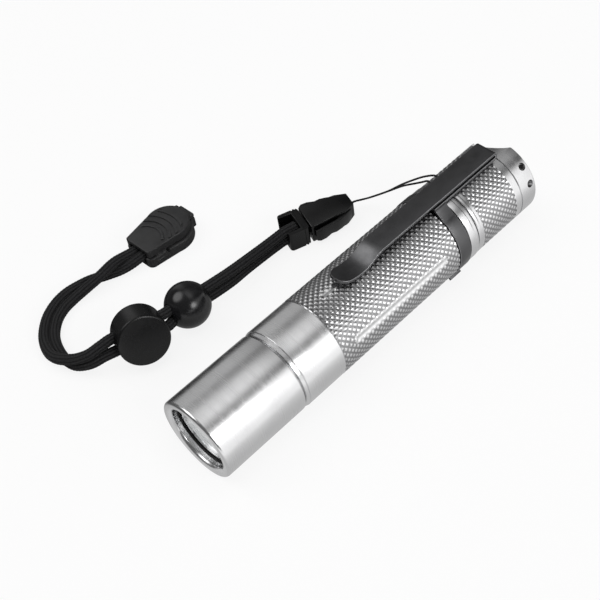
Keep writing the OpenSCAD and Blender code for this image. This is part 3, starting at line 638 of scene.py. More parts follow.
def knurled_metal(name):
    """Bare aluminium with painted shade in the grooves of the knurl."""
    material, net, shader = new_material(name)
    groove, cast = mark(net, "groove"), grains(net, 2600.0)
    # Painted shade: the groove mask darkens the colour on the grooves' flanks, varied by the grain.
    steep = net.math("MINIMUM", net.times(groove, 2.0), 1.0)
    shade = net.times(steep, net.span(cast, 0.85, 1.05))
    base = net.blend(shade, chosen("metal"), chosen("groove"))
    net.surface(shader, base, net.span(groove, 0.22, 0.45), Metallic=1.0)
    net.bump(shader, cast, 0.12)
    return material


def coated_clip(name):
    """Dark satin coat on sheet steel, with a painted highlight along its edges, broken into patches."""
    material, net, shader = new_material(name)
    touched = patches(net, 420.0, 3.0)
    # Painted highlight: lighter colour along the sheet's round corners, broken into patches.
    edge_highlight = net.times(mark(net, "edge"), net.span(touched, 0.55, 1.0))
    base = net.blend(edge_highlight, chosen("clip"), chosen("clip_edge"))
    net.surface(shader, base, net.span(touched, 0.30, 0.42), Metallic=0.92)
    net.bump(shader, grains(net, 5200.0), 0.16)
    return material


def glossy_bead(name):
    """Polished black with faint wear."""
    material, net, shader = new_material(name)
    touched, black = patches(net, 340.0, 3.0), chosen("bead")
    base = net.blend(touched, black, (*lighter(black, 1.7), 1.0))
    net.surface(shader, base, net.span(touched, 0.14, 0.24))
    net.bump(shader, touched, 0.04)
    return material


def braided_cord(name):
    """Black yarn with a painted highlight on the tops of its strands."""
    material, net, shader = new_material(name)
    yarn = grains(net, 9000.0)
    # Painted highlight: the strand mask lightens the yarn's colour on the strands' tops.
    tops = net.times(mark(net, "strand"), net.span(yarn, 0.4, 1.2))
    base = net.blend(tops, chosen("cord"), chosen("cord_light"))
    net.surface(shader, base, net.span(yarn, 0.62, 0.85),
                Specular_IOR_Level=0.15, Sheen_Weight=0.04, Sheen_Roughness=0.5)
    net.bump(shader, yarn, 0.35, 0.03)
    return material


def clear_glass(name):
    """Clear lens with faint smears."""
    material, net, shader = new_material(name)
    smears = net.span(patches(net, 220.0), 0.0, 0.03)
    net.surface(shader, (0.98, 0.99, 0.99, 1.0), smears, Transmission_Weight=1.0, IOR=1.5)
    return material


def two_tone(name, first, second, rough, metallic=0.0, scale=400.0, fine=3600.0, relief=0.1, deep=0.02,
             specular=0.5):
    """A finish that wanders between two tones, with a fine grain; rough is its range of roughness."""
    material, net, shader = new_material(name)
    touched = patches(net, scale)
    base = net.blend(touched, (*first, 1.0), (*second, 1.0))
    net.surface(shader, base, net.span(touched, *rough), Metallic=metallic, Specular_IOR_Level=specular)
    net.bump(shader, grains(net, fine), relief, deep)
    return material


def black_plastic(name):
    """Black plastic with the fine grain of its mould."""
    black = chosen(name)
    rough = (0.42, 0.55) if name == "matt_plastic" else (0.22, 0.32)
    return two_tone(name, black[:3], lighter(black, 1.6), rough, scale=260.0, relief=0.15, deep=0.025,
                    specular=0.42)


def rubber(name):
    """Dull rubber, a little dusty."""
    return two_tone(name, chosen(name)[:3], (0.03, 0.03, 0.03), (0.6, 0.8), relief=0.3)


def mirror(name):
    """Bright metal coat of the reflector."""
    return two_tone(name, (0.9, 0.9, 0.9), (0.84, 0.84, 0.85), (0.05, 0.12), 1.0, 900.0, 8100.0, 0.06)


SEEN_FINISHES = {
    "turned_aluminium": turned_metal, "knurled_aluminium": knurled_metal, "clip_coat": coated_clip,
    "moulded_plastic": black_plastic, "matt_plastic": black_plastic, "glossy_bead": glossy_bead,
    "braided_cord": braided_cord, "clear_glass": clear_glass, "rubber": rubber, "mirror": mirror}

# Finishes of the inner parts: two tones, the range of roughness, and how metallic they are
INNER_FINISHES = {
    "brass": ((0.72, 0.5, 0.2), (0.6, 0.4, 0.15), (0.2, 0.34), 1.0),
    "board": ((0.01, 0.09, 0.03), (0.02, 0.14, 0.05), (0.3, 0.45), 0.0),
    "white_plastic": ((0.8, 0.8, 0.78), (0.7, 0.7, 0.68), (0.4, 0.5), 0.0),
    "phosphor": ((0.85, 0.66, 0.12), (0.7, 0.5, 0.08), (0.25, 0.4), 0.0),
    "spring_steel": ((0.78, 0.62, 0.3), (0.66, 0.5, 0.22), (0.15, 0.3), 1.0),
    "plated_steel": ((0.7, 0.7, 0.7), (0.6, 0.6, 0.6), (0.15, 0.3), 1.0),
    "cell_jacket": ((0.1, 0.13, 0.17), (0.13, 0.16, 0.2), (0.3, 0.4), 0.0),
    "component": ((0.03, 0.03, 0.03), (0.06, 0.06, 0.06), (0.4, 0.6), 0.0),
    "lead_wire": ((0.4, 0.02, 0.02), (0.3, 0.01, 0.01), (0.4, 0.5), 0.0),
    "board_metal": ((0.75, 0.75, 0.75), (0.66, 0.66, 0.66), (0.3, 0.45), 1.0)}


def finish(key):
    """One of the finishes, made when it is first asked for."""
    if key in bpy.data.materials:
        return bpy.data.materials[key]
    if key in SEEN_FINISHES:
        return SEEN_FINISHES[key](key)
    return two_tone(key, *INNER_FINISHES[key])


# Knurl as geometry nodes

@built_once
def knurled_sleeve(name):
    """A sleeve of crossing grooves with milled flutes, from a grid wrapped round the X axis."""
    tree = bpy.data.node_groups.new(name, "GeometryNodeTree")
    tree.interface.new_socket(name="Geometry", in_out="OUTPUT", socket_type="NodeSocketGeometry")
    inputs = {
        "Float": ("Start", "Length", "Axis Height", "Radius", "Depth", "Slope", "Along",
                  "Flute Radius", "Flute Depth", "Flute Inset"),
        "Int": ("Around", "Samples", "Flutes"),
        "Material": ("Material",)}
    for kind, keys in inputs.items():
        for key in keys:
            tree.interface.new_socket(name=key, in_out="INPUT", socket_type="NodeSocket" + kind)
    net = Net(tree)
    given = net.add("NodeGroupInput").outputs
    made = net.add("NodeGroupOutput")

    columns = net.linear(given["Around"], given["Samples"], 1)
    rows = net.math("ROUND", net.linear(given["Along"], given["Samples"], 1))
    grid = net.add("GeometryNodeMeshGrid", {
        "Size X": 1, "Size Y": 1, "Vertices X": columns, "Vertices Y": rows})
    place = net.add("ShaderNodeSeparateXYZ", {0: net.add("GeometryNodeInputPosition").outputs[0]}).outputs
    around, along = net.plus(place["X"], 0.5), net.plus(place["Y"], 0.5)

    def from_groove(value):
        """Distance from the nearest groove as a share of the pitch."""
        return net.less(0.5, net.math("ABSOLUTE", net.less(net.math("FRACT", value), 0.5)))

    turn, run = net.times(around, given["Around"]), net.times(along, given["Along"])
    near = net.math("MINIMUM", from_groove(net.plus(turn, run)), from_groove(net.less(turn, run)))
    top = net.math("MINIMUM", net.math("DIVIDE", near, given["Slope"]), 1)
    sunk = net.less(1, top)
    knurl_r = net.less(given["Radius"], net.times(sunk, given["Depth"]))

    middle = net.less(net.math("FRACT", net.linear(around, given["Flutes"], 0.5)), 0.5)
    girth = net.times(given["Radius"], TURN)
    aside = net.math("DIVIDE", net.times(middle, girth), given["Flutes"])
    half = net.times(given["Length"], 0.5)
    from_middle = net.math("ABSOLUTE", net.less(net.times(along, given["Length"]), half))
    straight = net.less(net.less(half, given["Flute Inset"]), given["Flute Radius"])
    past = net.math("MAXIMUM", net.less(from_middle, straight), 0)
    off = net.plus(net.times(aside, aside), net.times(past, past))
    reach = net.times(given["Flute Radius"], given["Flute Radius"])
    ball = net.math("SQRT", net.math("MAXIMUM", net.less(reach, off), 0))
    cutter_r = net.less(net.plus(given["Radius"], given["Flute Radius"]), given["Flute Depth"])
    shows = net.math("GREATER_THAN", off, reach)
    radius = net.math("MINIMUM", knurl_r, net.plus(net.less(cutter_r, ball), shows))

    angle = net.times(around, TURN)
    spot = net.add("ShaderNodeCombineXYZ", {
        "X": net.linear(along, given["Length"], given["Start"]),
        "Y": net.times(net.times(radius, net.math("SINE", angle)), -1),
        "Z": net.linear(radius, net.math("COSINE", angle), given["Axis Height"])})
    # The groove mask, which the knurl's finish uses to paint shade into the grooves.
    shape = net.add("GeometryNodeStoreNamedAttribute", {
        "Geometry": grid.outputs["Mesh"], "Name": "groove", "Value": net.times(sunk, shows)},
        data_type="FLOAT", domain="POINT")
    shape = net.add("GeometryNodeSetPosition", {"Geometry": shape.outputs[0], "Position": spot.outputs[0]})
    shape = net.add("GeometryNodeMergeByDistance", {"Geometry": shape.outputs[0], "Distance": 0.002 * MM})
    shape = net.add("GeometryNodeRealizeInstances", {"Geometry": shape.outputs[0]})
    shape = net.add("GeometryNodeSetMaterial", {"Geometry": shape.outputs[0], "Material": given["Material"]})
    net.feed(made.inputs["Geometry"], shape.outputs[0])
    return tree


def knurl(name, start, end, radius, fluted):
    """A knurled sleeve between two stations, closed by an inner wall."""
    shapes = bpy.context.scene.flashlight_shapes
    material = finish("knurled_aluminium")
    length = (end - start) * MM
    pitch = TURN * radius * MM / shapes.knurl_around
    values = {
        "Start": FRONT + start * MM, "Length": length, "Axis Height": AXIS_Z, "Radius": radius * MM,
        "Depth": shapes.knurl_depth, "Slope": shapes.knurl_slope, "Along": round(2 * length / pitch) / 2,
        "Around": shapes.knurl_around, "Samples": shapes.knurl_samples,
        "Flutes": shapes.flutes if fluted else 1,
        "Flute Radius": shapes.flute_radius if fluted else 0.0,
        "Flute Depth": shapes.flute_depth if fluted else 0.0,
        "Flute Inset": shapes.flute_inset, "Material": material}
    work = bpy.data.objects.new(name + "_work", bpy.data.meshes.new(name + "_work"))
    bpy.context.scene.collection.objects.link(work)
    modifier = work.modifiers.new("knurl", "NODES")
    modifier.node_group = knurled_sleeve()
    for item in modifier.node_group.interface.items_tree:
        if item.in_out == "INPUT":
            modifier[item.identifier] = values[item.name]
    mesh = evaluated_mesh(work)
    bpy.data.objects.remove(work)
    sleeve = bmesh.new()
    sleeve.from_mesh(mesh)
    rims = [e for e in sleeve.edges if e.is_boundary]
    for item in bmesh.ops.extrude_edge_only(sleeve, edges=rims)["geom"]:
        if isinstance(item, bmesh.types.BMVert):
            out = Vector((0, item.co.y, item.co.z - AXIS_Z)).normalized() * (radius - KNURL_WALL) * MM
            item.co = (item.co.x, out.y, out.z + AXIS_Z)
    bmesh.ops.bridge_loops(sleeve, edges=[e for e in sleeve.edges if e.is_boundary])
    sleeve.to_mesh(mesh)
    sleeve.free()
    return piece_of(name, mesh, material, sharp=60)


# Operators

class FLASHLIGHT_OT_stage(bpy.types.Operator):
    """Make the camera, the lights and the floor"""
    bl_idname = "flashlight.stage"
    bl_label = "Stage"

    def execute(self, context):
        self.make_camera(context)
        self.make_room(context)
        self.make_lamp(context)
        self.make_floor(context)
        return {"FINISHED"}

    def make_camera(self, context):
        data = bpy.data.cameras.new("photo_view")
        data.lens = CAMERA_LENS
        data.sensor_width = 36
        data.clip_start = 0.005
        camera = bpy.data.objects.new("photo_view", data)
        right = CAMERA_RIGHT.normalized()
        up = (CAMERA_UP - right * CAMERA_UP.dot(right)).normalized()
        turn = Matrix((right, up, right.cross(up))).transposed()
        camera.matrix_world = Matrix.Translation(CAMERA_PLACE) @ turn.to_4x4()
        context.scene.collection.objects.link(camera)
        context.scene.camera = camera

    def ramp(self, net, value, levels):
        """A grey level that follows a value through the given places."""
        node = net.add("ShaderNodeValToRGB", {"Fac": value})
        elements = node.color_ramp.elements
        for place, level in levels[2:]:
            elements.new(place)
        for element, (place, level) in zip(elements, levels):
            element.position = place
            element.color = (level, level, level, 1)
        return node.outputs["Color"]

    def soft_light(self, net, towards, inner, outer, level):
        """A round light in a direction, full up to an inner angle in degrees and gone at an outer one."""
        direction = net.add("ShaderNodeTexCoord").outputs["Generated"]
        facing = net.add("ShaderNodeVectorMath", {0: direction, 1: towards}, operation="DOT_PRODUCT")
        full, gone = math.cos(math.radians(inner)), math.cos(math.radians(outer))
        near = net.math("DIVIDE", net.less(facing.outputs["Value"], gone), full - gone)
        return net.times(net.clamp(near), level)

    def make_room(self, context):
        """A room that is white to the camera and lit by long soft panels and two round lights."""
        world = bpy.data.worlds.new("studio")
        context.scene.world = world
        context.scene.view_settings.view_transform = "Standard"
        world.use_nodes = True
        net = Net(world.node_tree)
        direction = net.place("Generated")
        towards = net.math("ARCTAN2", net.times(direction["Y"], -1), direction["Z"])
        share = net.linear(towards, 1 / TURN, 0.5)
        near_panel, calm, strength = 0.608, 0.09, 1.4
        round_about = self.ramp(net, share, [
            (0.24, 0.32), (0.33, 0.36), (0.365, 0.34), (0.385, 0.20), (0.41, 0.20), (0.435, 0.34),
            (0.46, 0.58), (0.525, 0.78), (0.552, 0.60), (0.577, 0.22), (near_panel, 0.20), (0.64, 0.85),
            (0.67, 0.97), (0.72, 1.0), (0.755, 0.92), (0.79, 0.70)])
        lengthwise = net.linear(direction["X"], 0.5, 0.5)
        behind = self.ramp(
            net, lengthwise, [(0.69, 1.0), (0.74, 0.5), (0.765, 0.36), (0.80, 0.27), (0.9, 0.14)])
        before = self.ramp(net, lengthwise, [(0.72, 1.0), (0.765, 0.85), (0.85, 0.7)])
        is_before = net.math("GREATER_THAN", share, near_panel)
        panels = net.times(round_about, net.choose(is_before, behind, before))
        beside = self.ramp(net, lengthwise, [(0.51, 0.0), (0.60, 1.0)])
        panels = net.choose(beside, calm, panels)
        panels = net.plus(panels, self.soft_light(net, (-0.33, 0.48, 0.81), 15, 27, 1.7))
        panels = net.plus(panels, self.soft_light(net, (0.04, -0.845, 0.533), 10, 15, 4.2))
        path = net.add("ShaderNodeLightPath").outputs
        seen = net.math("MAXIMUM", path["Is Camera Ray"], path["Is Transmission Ray"])
        backdrop = world.node_tree.nodes["Background"].inputs
        net.feed(backdrop["Strength"], net.choose(seen, net.times(panels, strength), 1.0))
        backdrop["Color"].default_value = (1, 1, 1, 1)

    def make_lamp(self, context):
        """A soft lamp overhead that lights the floor and draws the shadow."""
        data = bpy.data.lights.new("overhead", "AREA")
        data.shape = "RECTANGLE"
        data.size = 0.5
        data.size_y = 0.3
        data.energy = 1.0
        lamp = bpy.data.objects.new("overhead", data)
        lamp.location = (-0.05, -0.10, 0.6)
        lamp.rotation_euler = (-Vector(lamp.location)).to_track_quat("-Z", "Y").to_euler()
        lamp.visible_camera = False
        lamp.visible_glossy = False
        context.scene.collection.objects.link(lamp)

    def make_floor(self, context):
        """A pale floor that stays white to the camera and keeps the shadow; in the metal it shows painted
        shade across its width.
        """
        reach, under, white_share = 3.0, 0.02 * MM, 0.86
        mesh = bpy.data.meshes.new("floor")
        corners = [(x * reach, y * reach, -under) for x, y in ((-1, -1), (1, -1), (1, 1), (-1, 1))]
        mesh.from_pydata(corners, [], [(0, 1, 2, 3)])
        floor = bpy.data.objects.new("floor", mesh)
        context.scene.collection.objects.link(floor)
        material, net, shader = new_material("floor")
        material.node_tree.nodes.remove(shader)
        lit = net.add("ShaderNodeBsdfDiffuse", {"Color": chosen("floor")})
        path = net.add("ShaderNodeLightPath").outputs
        # Painted shade in the reflection: glossy rays see the floor brightest on the camera's side, dimmer
        # near the light, and dark beyond it on the far side.
        across = net.linear(net.place()["Y"], 5.0, 0.5)
        mirrored = self.ramp(net, across, [
            (0.2, 1.1), (0.33, 0.76), (0.42, 0.55), (0.46, 0.55), (0.54, 0.68), (0.60, 0.5), (0.70, 0.1)])
        strength = net.choose(path["Is Glossy Ray"], 1.0, mirrored)
        white = net.add("ShaderNodeEmission", {"Color": (1, 1, 1, 1), "Strength": strength})
        seen = net.math("MAXIMUM", path["Is Camera Ray"], path["Is Transmission Ray"])
        share = net.math("MAXIMUM", path["Is Glossy Ray"], net.times(seen, white_share))
        mix = net.add("ShaderNodeMixShader", {0: share, 1: lit.outputs[0], 2: white.outputs[0]})
        net.feed(material.node_tree.nodes["Material Output"].inputs["Surface"], mix.outputs[0])
        mesh.materials.append(material)


def strap_points(side):
    """Route of one of the two strap cords, which lie beside each other and turn together."""
    middle = np.array([row[:3] for row in STRAP_ROUTE])
    points = []
    for i, row in enumerate(STRAP_ROUTE):
        turn, extra = row[3:]
        along = middle[min(i + 1, len(middle) - 1)] - middle[max(i - 1, 0)]
        across = np.cross((0, 0, 1), along / np.linalg.norm(along))
        across /= np.linalg.norm(across)
        a = math.radians(turn)
        away = math.cos(a) * across - math.sin(a) * np.array((0, 0, 1))
        points.append(middle[i] + side * (STRAP_SPACING + extra) / 2 * away + np.array((FRONT, 0, 0)))
    return points


class FLASHLIGHT_OT_cords(bpy.types.Operator):
    """Make the two braided strap cords and the thin loop"""
    bl_idname = "flashlight.cords"
    bl_label = "Cords"

    def execute(self, context):
        shapes = context.scene.flashlight_shapes
        for name, side in (("strap_cord_a", 1), ("strap_cord_b", -1)):
            self.make_braid(name, strap_points(side), strap_points(-side), shapes)
        self.make_loop()
        return {"FINISHED"}

    def lay(self, name, path, length, radii, height, body, node):
        """A cord on its body, which keeps its route until its fittings are made."""
        cord = tube(name, path, radii, finish("braided_cord"), masks={"strand": height})
        stand_for(cord, body, "black_cord", node)
        cord["cord_path"] = path.ravel().tolist()
        cord["cord_length"] = float(length)

    def pressed(self, path, other, sides, radius):
        """Radii of a cord that is flat where it is pressed against the other one."""
        side, over = steady_frames(path)
        away = other[:, None, :] - path[None, :, :]
        nearest = np.argmin(np.linalg.norm(away, axis=2), axis=0)
        towards = other[nearest] - path
        half = np.linalg.norm(towards, axis=1) / 2
        facing = np.arctan2((towards * over).sum(1), (towards * side).sum(1))
        angle = np.arange(sides)[None, :] * TURN / sides
        facing_share = np.maximum(np.cos(angle - facing[:, None]), 0.05)
        gap = 0.01 * MM
        return np.minimum(radius, (half[:, None] - gap) / facing_share)

    def make_braid(self, name, points, other_points, shapes):
        """Columns of slanting stitches, mirrored from column to column."""
        step, column_sides, slant = 0.21 * MM, 6, 0.9
        path, length = smooth_path(points, step)
        other = smooth_path(other_points, step)[0]
        sides = shapes.braid_columns * column_sides
        column = np.arange(sides)[None, :] * shapes.braid_columns / sides
        inside = column % 1
        lean = np.where(np.floor(column) % 2 == 0, 1, -1)
        run = np.linspace(0, length, len(path))[:, None] / shapes.stitch
        rib = np.sin(math.pi * inside) ** 0.6
        stitch = np.abs(np.sin(math.pi * (run + lean * (inside - 0.5) * slant))) ** 0.5
        height = rib * (0.35 + 0.65 * stitch)
        free_r = STRAP_CORD_D / 2 * 1.1
        radii = self.pressed(path, other, sides, free_r) + shapes.braid_deep * (height - 0.75)
        self.lay(name + "_braid", path, length, radii, height, "strap", name)

    def make_loop(self):
        """Three thin strands laid round each other."""
        step, sides, strands, lay_l = 0.12 * MM, 18, 3, 2.2 * MM
        path, length = smooth_path([np.array(p) + np.array((FRONT, 0, 0)) for p in LOOP_ROUTE], step)
        run = np.linspace(0, length, len(path))[:, None]
        angle = np.arange(sides)[None, :] * TURN / sides
        height = np.abs(np.cos(strands / 2 * (angle - TURN * run / lay_l))) ** 0.7
        radii = LOOP_D / 2 * (0.80 + 0.20 * height)
        self.lay("lanyard_loop_cord", path, length, radii, height, "tube", "lanyard_loop")


class FLASHLIGHT_OT_head(bpy.types.Operator):
    """Make the head's barrel and the reflector, and dress the lens and its gasket"""
    bl_idname = "flashlight.head"
    bl_label = "Head"

    def execute(self, context):
        lens_r = radius_of("bezel_gasket") + 0.05
        gasket_x = station(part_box("bezel_gasket")[0].x)
        pill_x = station(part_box("pill")[0].x)
        lip_r, lip_round, inner_round, edge = 7.8, 0.7, 1.0, 0.25
        outline = (arc(inner_round, lip_r + inner_round, inner_round, 270, 180)
                   + front_edge(0, HEAD_R, lip_round, 12)
                   + [(HEAD_END / 2, HEAD_R)]
                   + back_edge(HEAD_END, HEAD_R, edge, 5)
                   + [(HEAD_END, THREAD_R), (pill_x, THREAD_R), (pill_x, lens_r), (gasket_x, lens_r),
                      (gasket_x, lip_r)])
        barrel = lathe("head_barrel", outline, finish("turned_aluminium"))
        stand_for(barrel, "head", "bare_aluminium", "head_shell")
        self.make_reflector()
        dress("bezel_gasket", finish("rubber"))
        dress("lens", finish("clear_glass"))
        return {"FINISHED"}

    def make_reflector(self):
        """A parabolic cup with a flat rim."""
        front, back = (station(c.x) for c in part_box("reflector"))
        rim_r = radius_of("reflector")
        mouth_r, hole_r, edge = 7.8, 2.1, 0.4
        boss_r, rim_l, boss_run = 6.6, 2.6, 1.6
        spread = (mouth_r**2 - hole_r**2) / (back - front - edge)
        vertex = back + hole_r**2 / spread
        cup = [(x, math.sqrt(spread * (vertex - x))) for x in np.linspace(back, front + edge, 48)]
        outline = cup + [(front, mouth_r), (front, rim_r), (front + rim_l, rim_r),
                         (front + rim_l + rim_r - boss_r + boss_run, boss_r), (back, boss_r)]
        stand_for(lathe("reflector_cup", outline, finish("mirror")), "head", "reflector_metal", "reflector")


class FLASHLIGHT_OT_tube(bpy.types.Operator):
    """Make the tube's turned parts and its knurl"""
    bl_idname = "flashlight.tube"
    bl_label = "Tube"

    def execute(self, context):
        neck_r = BODY_R - NECK_STEP
        floor_r = BODY_R - GROOVE_DEEP
        pocket_r = BODY_R - KNURL_POCKET
        line_r = neck_r - 0.22
        collar_end, edge, neck_round, band_round = NECK_X + 0.85, 0.25, 0.18, 0.15
        nose = [(NOSE_X, BORE_R), (NOSE_X, NOSE_R - edge), (NOSE_X + edge, NOSE_R), (NECK_X, NOSE_R)]
        collar = [(NECK_X, neck_r - 0.5), (NECK_X + 0.15, neck_r - 0.25), (collar_end, neck_r - 0.16),
                  (collar_end + 0.06, line_r), (collar_end + 0.14, line_r)]
        neck = front_edge(collar_end + 0.16, neck_r, neck_round) + [
            (KNURL_X - 6, neck_r), (KNURL_X - 0.30, neck_r), (KNURL_X - 0.12, line_r), (KNURL_X, line_r)]
        pocket = [(KNURL_X, pocket_r), (KNURL_END, pocket_r), (KNURL_END, floor_r), (GROOVE_END, floor_r)]
        band = (front_edge(GROOVE_END, BODY_R, band_round) + scribed(TUBE_END - 1.0, BODY_R)
                + back_edge(TUBE_END, BODY_R, edge))
        tail_nose = [(TUBE_END, NOSE_R), (TUBE_NOSE_END - edge, NOSE_R), (TUBE_NOSE_END, NOSE_R - edge),
                     (TUBE_NOSE_END, BORE_R)]
        outline = nose + collar + neck + pocket + band + tail_nose
        turned = lathe("tube_turned", outline, finish("turned_aluminium"))
        stand_for(turned, "tube", "bare_aluminium", "battery_tube")
        sleeve = knurl("tube_knurl", KNURL_X, KNURL_END, BODY_R, fluted=True)
        stand_for(sleeve, "tube", "bare_aluminium")
        for node in ("head_o_ring", "tail_o_ring"):
            dress(node, finish("rubber"))
        return {"FINISHED"}


class FLASHLIGHT_OT_tail(bpy.types.Operator):
    """Make the tail cap with its knurl, thumb scallops and lanyard holes, and the switch boot"""
    bl_idname = "flashlight.tail"
    bl_label = "Tail cap"

    def execute(self, context):
        flange_t, web_t = 1.2, 1.6
        web_x = station(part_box("switch_boot")[0].x) + flange_t
        web_end = web_x + web_t
        ledge_x = station(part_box("switch_retaining_ring")[0].x) - 0.3
        chamber_r, recess_r, hole_r = 8.2, 7.4, 5.45
        pocket_r = TAIL_R - KNURL_POCKET
        edge, front_round, line_w, line_r = 0.4, 0.25, 0.4, TAIL_R - 0.25
        front = ([(CAP_X, THREAD_R)] + front_edge(CAP_X, TAIL_R, front_round)
                 + scribed(TAIL_KNURL_X - 0.8, TAIL_R))
        pocket = [(TAIL_KNURL_X, TAIL_R), (TAIL_KNURL_X, pocket_r), (TAIL_KNURL_END, pocket_r),
                  (TAIL_KNURL_END, TAIL_R)]
        line = [(web_end - line_w, TAIL_R), (web_end - line_w, line_r), (web_end, line_r), (web_end, TAIL_R)]
        crown = ([(web_end + 2, TAIL_R)] + back_edge(LIGHT_L, TAIL_R, edge, 5)
                 + arc(LIGHT_L - edge, recess_r + edge, edge, 0, -90, 5))
        inside = [(web_end, recess_r), (web_end, hole_r), (web_x, hole_r), (web_x, chamber_r),
                  (ledge_x, chamber_r), (ledge_x, THREAD_R)]
        outline = front + pocket + line + crown + inside
        cap = lathe("tail_turned", outline, finish("turned_aluminium"), segments=256)
        self.cut(cap)
        stand_for(cap, "tail_cap", "bare_aluminium", "tailcap_shell")
        sleeve = knurl("tail_knurl", TAIL_KNURL_X, TAIL_KNURL_END, TAIL_R, fluted=False)
        stand_for(sleeve, "tail_cap", "bare_aluminium")
        self.make_boot(web_x)
        return {"FINISHED"}

    def cut(self, cap):
        """Takes the thumb scallops and the lanyard holes out of the crown."""
        scallop_r, scallop_deep, scallop_turn = 6.65, 4.0, -24
        hole_inset, hole_r, hole_start, hole_l, hole_turns = 1.7, 0.95, 6.2, 8, (43, 70)
        through = 40
        cuts = [(LIGHT_L - scallop_deep + scallop_r, scallop_r, scallop_turn, -through / 2, through, 96)]
        cuts += [(LIGHT_L - hole_inset, hole_r, turn, hole_start, hole_l, 32) for turn in hole_turns]
        for x, radius, turn, start, length, sides in cuts:
            mesh = bpy.data.meshes.new("cutter")
            shape = bmesh.new()
            place = (Matrix.Translation(at(x, 0, 0)) @ Matrix.Rotation(math.radians(turn), 4, "X")
                     @ Matrix.Translation((0, 0, (start + length / 2) * MM)))
            bmesh.ops.create_cone(
                shape, cap_ends=True, segments=sides, radius1=radius * MM, radius2=radius * MM,
                depth=length * MM, matrix=place)
            shape.to_mesh(mesh)
            shape.free()
            cutter = bpy.data.objects.new("cutter", mesh)
            bpy.context.scene.collection.objects.link(cutter)
            modifier = cap.modifiers.new("cut", "BOOLEAN")
            modifier.operation = "DIFFERENCE"
            modifier.solver = "EXACT"
            modifier.object = cutter
            cap.data = evaluated_mesh(cap)
            bpy.data.objects.remove(cutter)
        cap.data.shade_smooth()
        cap.data.set_sharp_from_angle(angle=math.radians(28))

    def make_boot(self, web_x):
        """A rubber dome whose top sits at the end of the switch boot's solid, with rings of moulded ridges.
        """
        low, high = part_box("switch_boot")
        flange_x, top_x = station(low.x), station(high.x)
        flange_r, dome_r, wall, rounding = radius_of("switch_boot"), 5.4, 0.9, 1.6
        ridge_deep, ridge_rate = 0.12, 5.2
        inner_r = dome_r - wall
        side = [(x, dome_r) for x in np.linspace(web_x, top_x - rounding, 9)]
        crown = arc(top_x - rounding, dome_r - rounding, rounding, 90, 0, 10)
        ridges = [(top_x - ridge_deep * (1 - math.cos(r * ridge_rate)) / 2, r)
                  for r in np.linspace(3.7, 0.05, 26)]
        under = [(top_x - wall, r) for r in (0.05, 2.0, inner_r)]
        back = [(x, inner_r) for x in np.linspace(top_x - wall - 0.3, flange_x, 7)]
        outline = [(flange_x, flange_r), (web_x, flange_r)] + side + crown + ridges + under + back
        boot = lathe("boot_dome", outline, finish("rubber"), segments=96, sharp=50)
        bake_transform(boot)
        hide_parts("switch_boot")


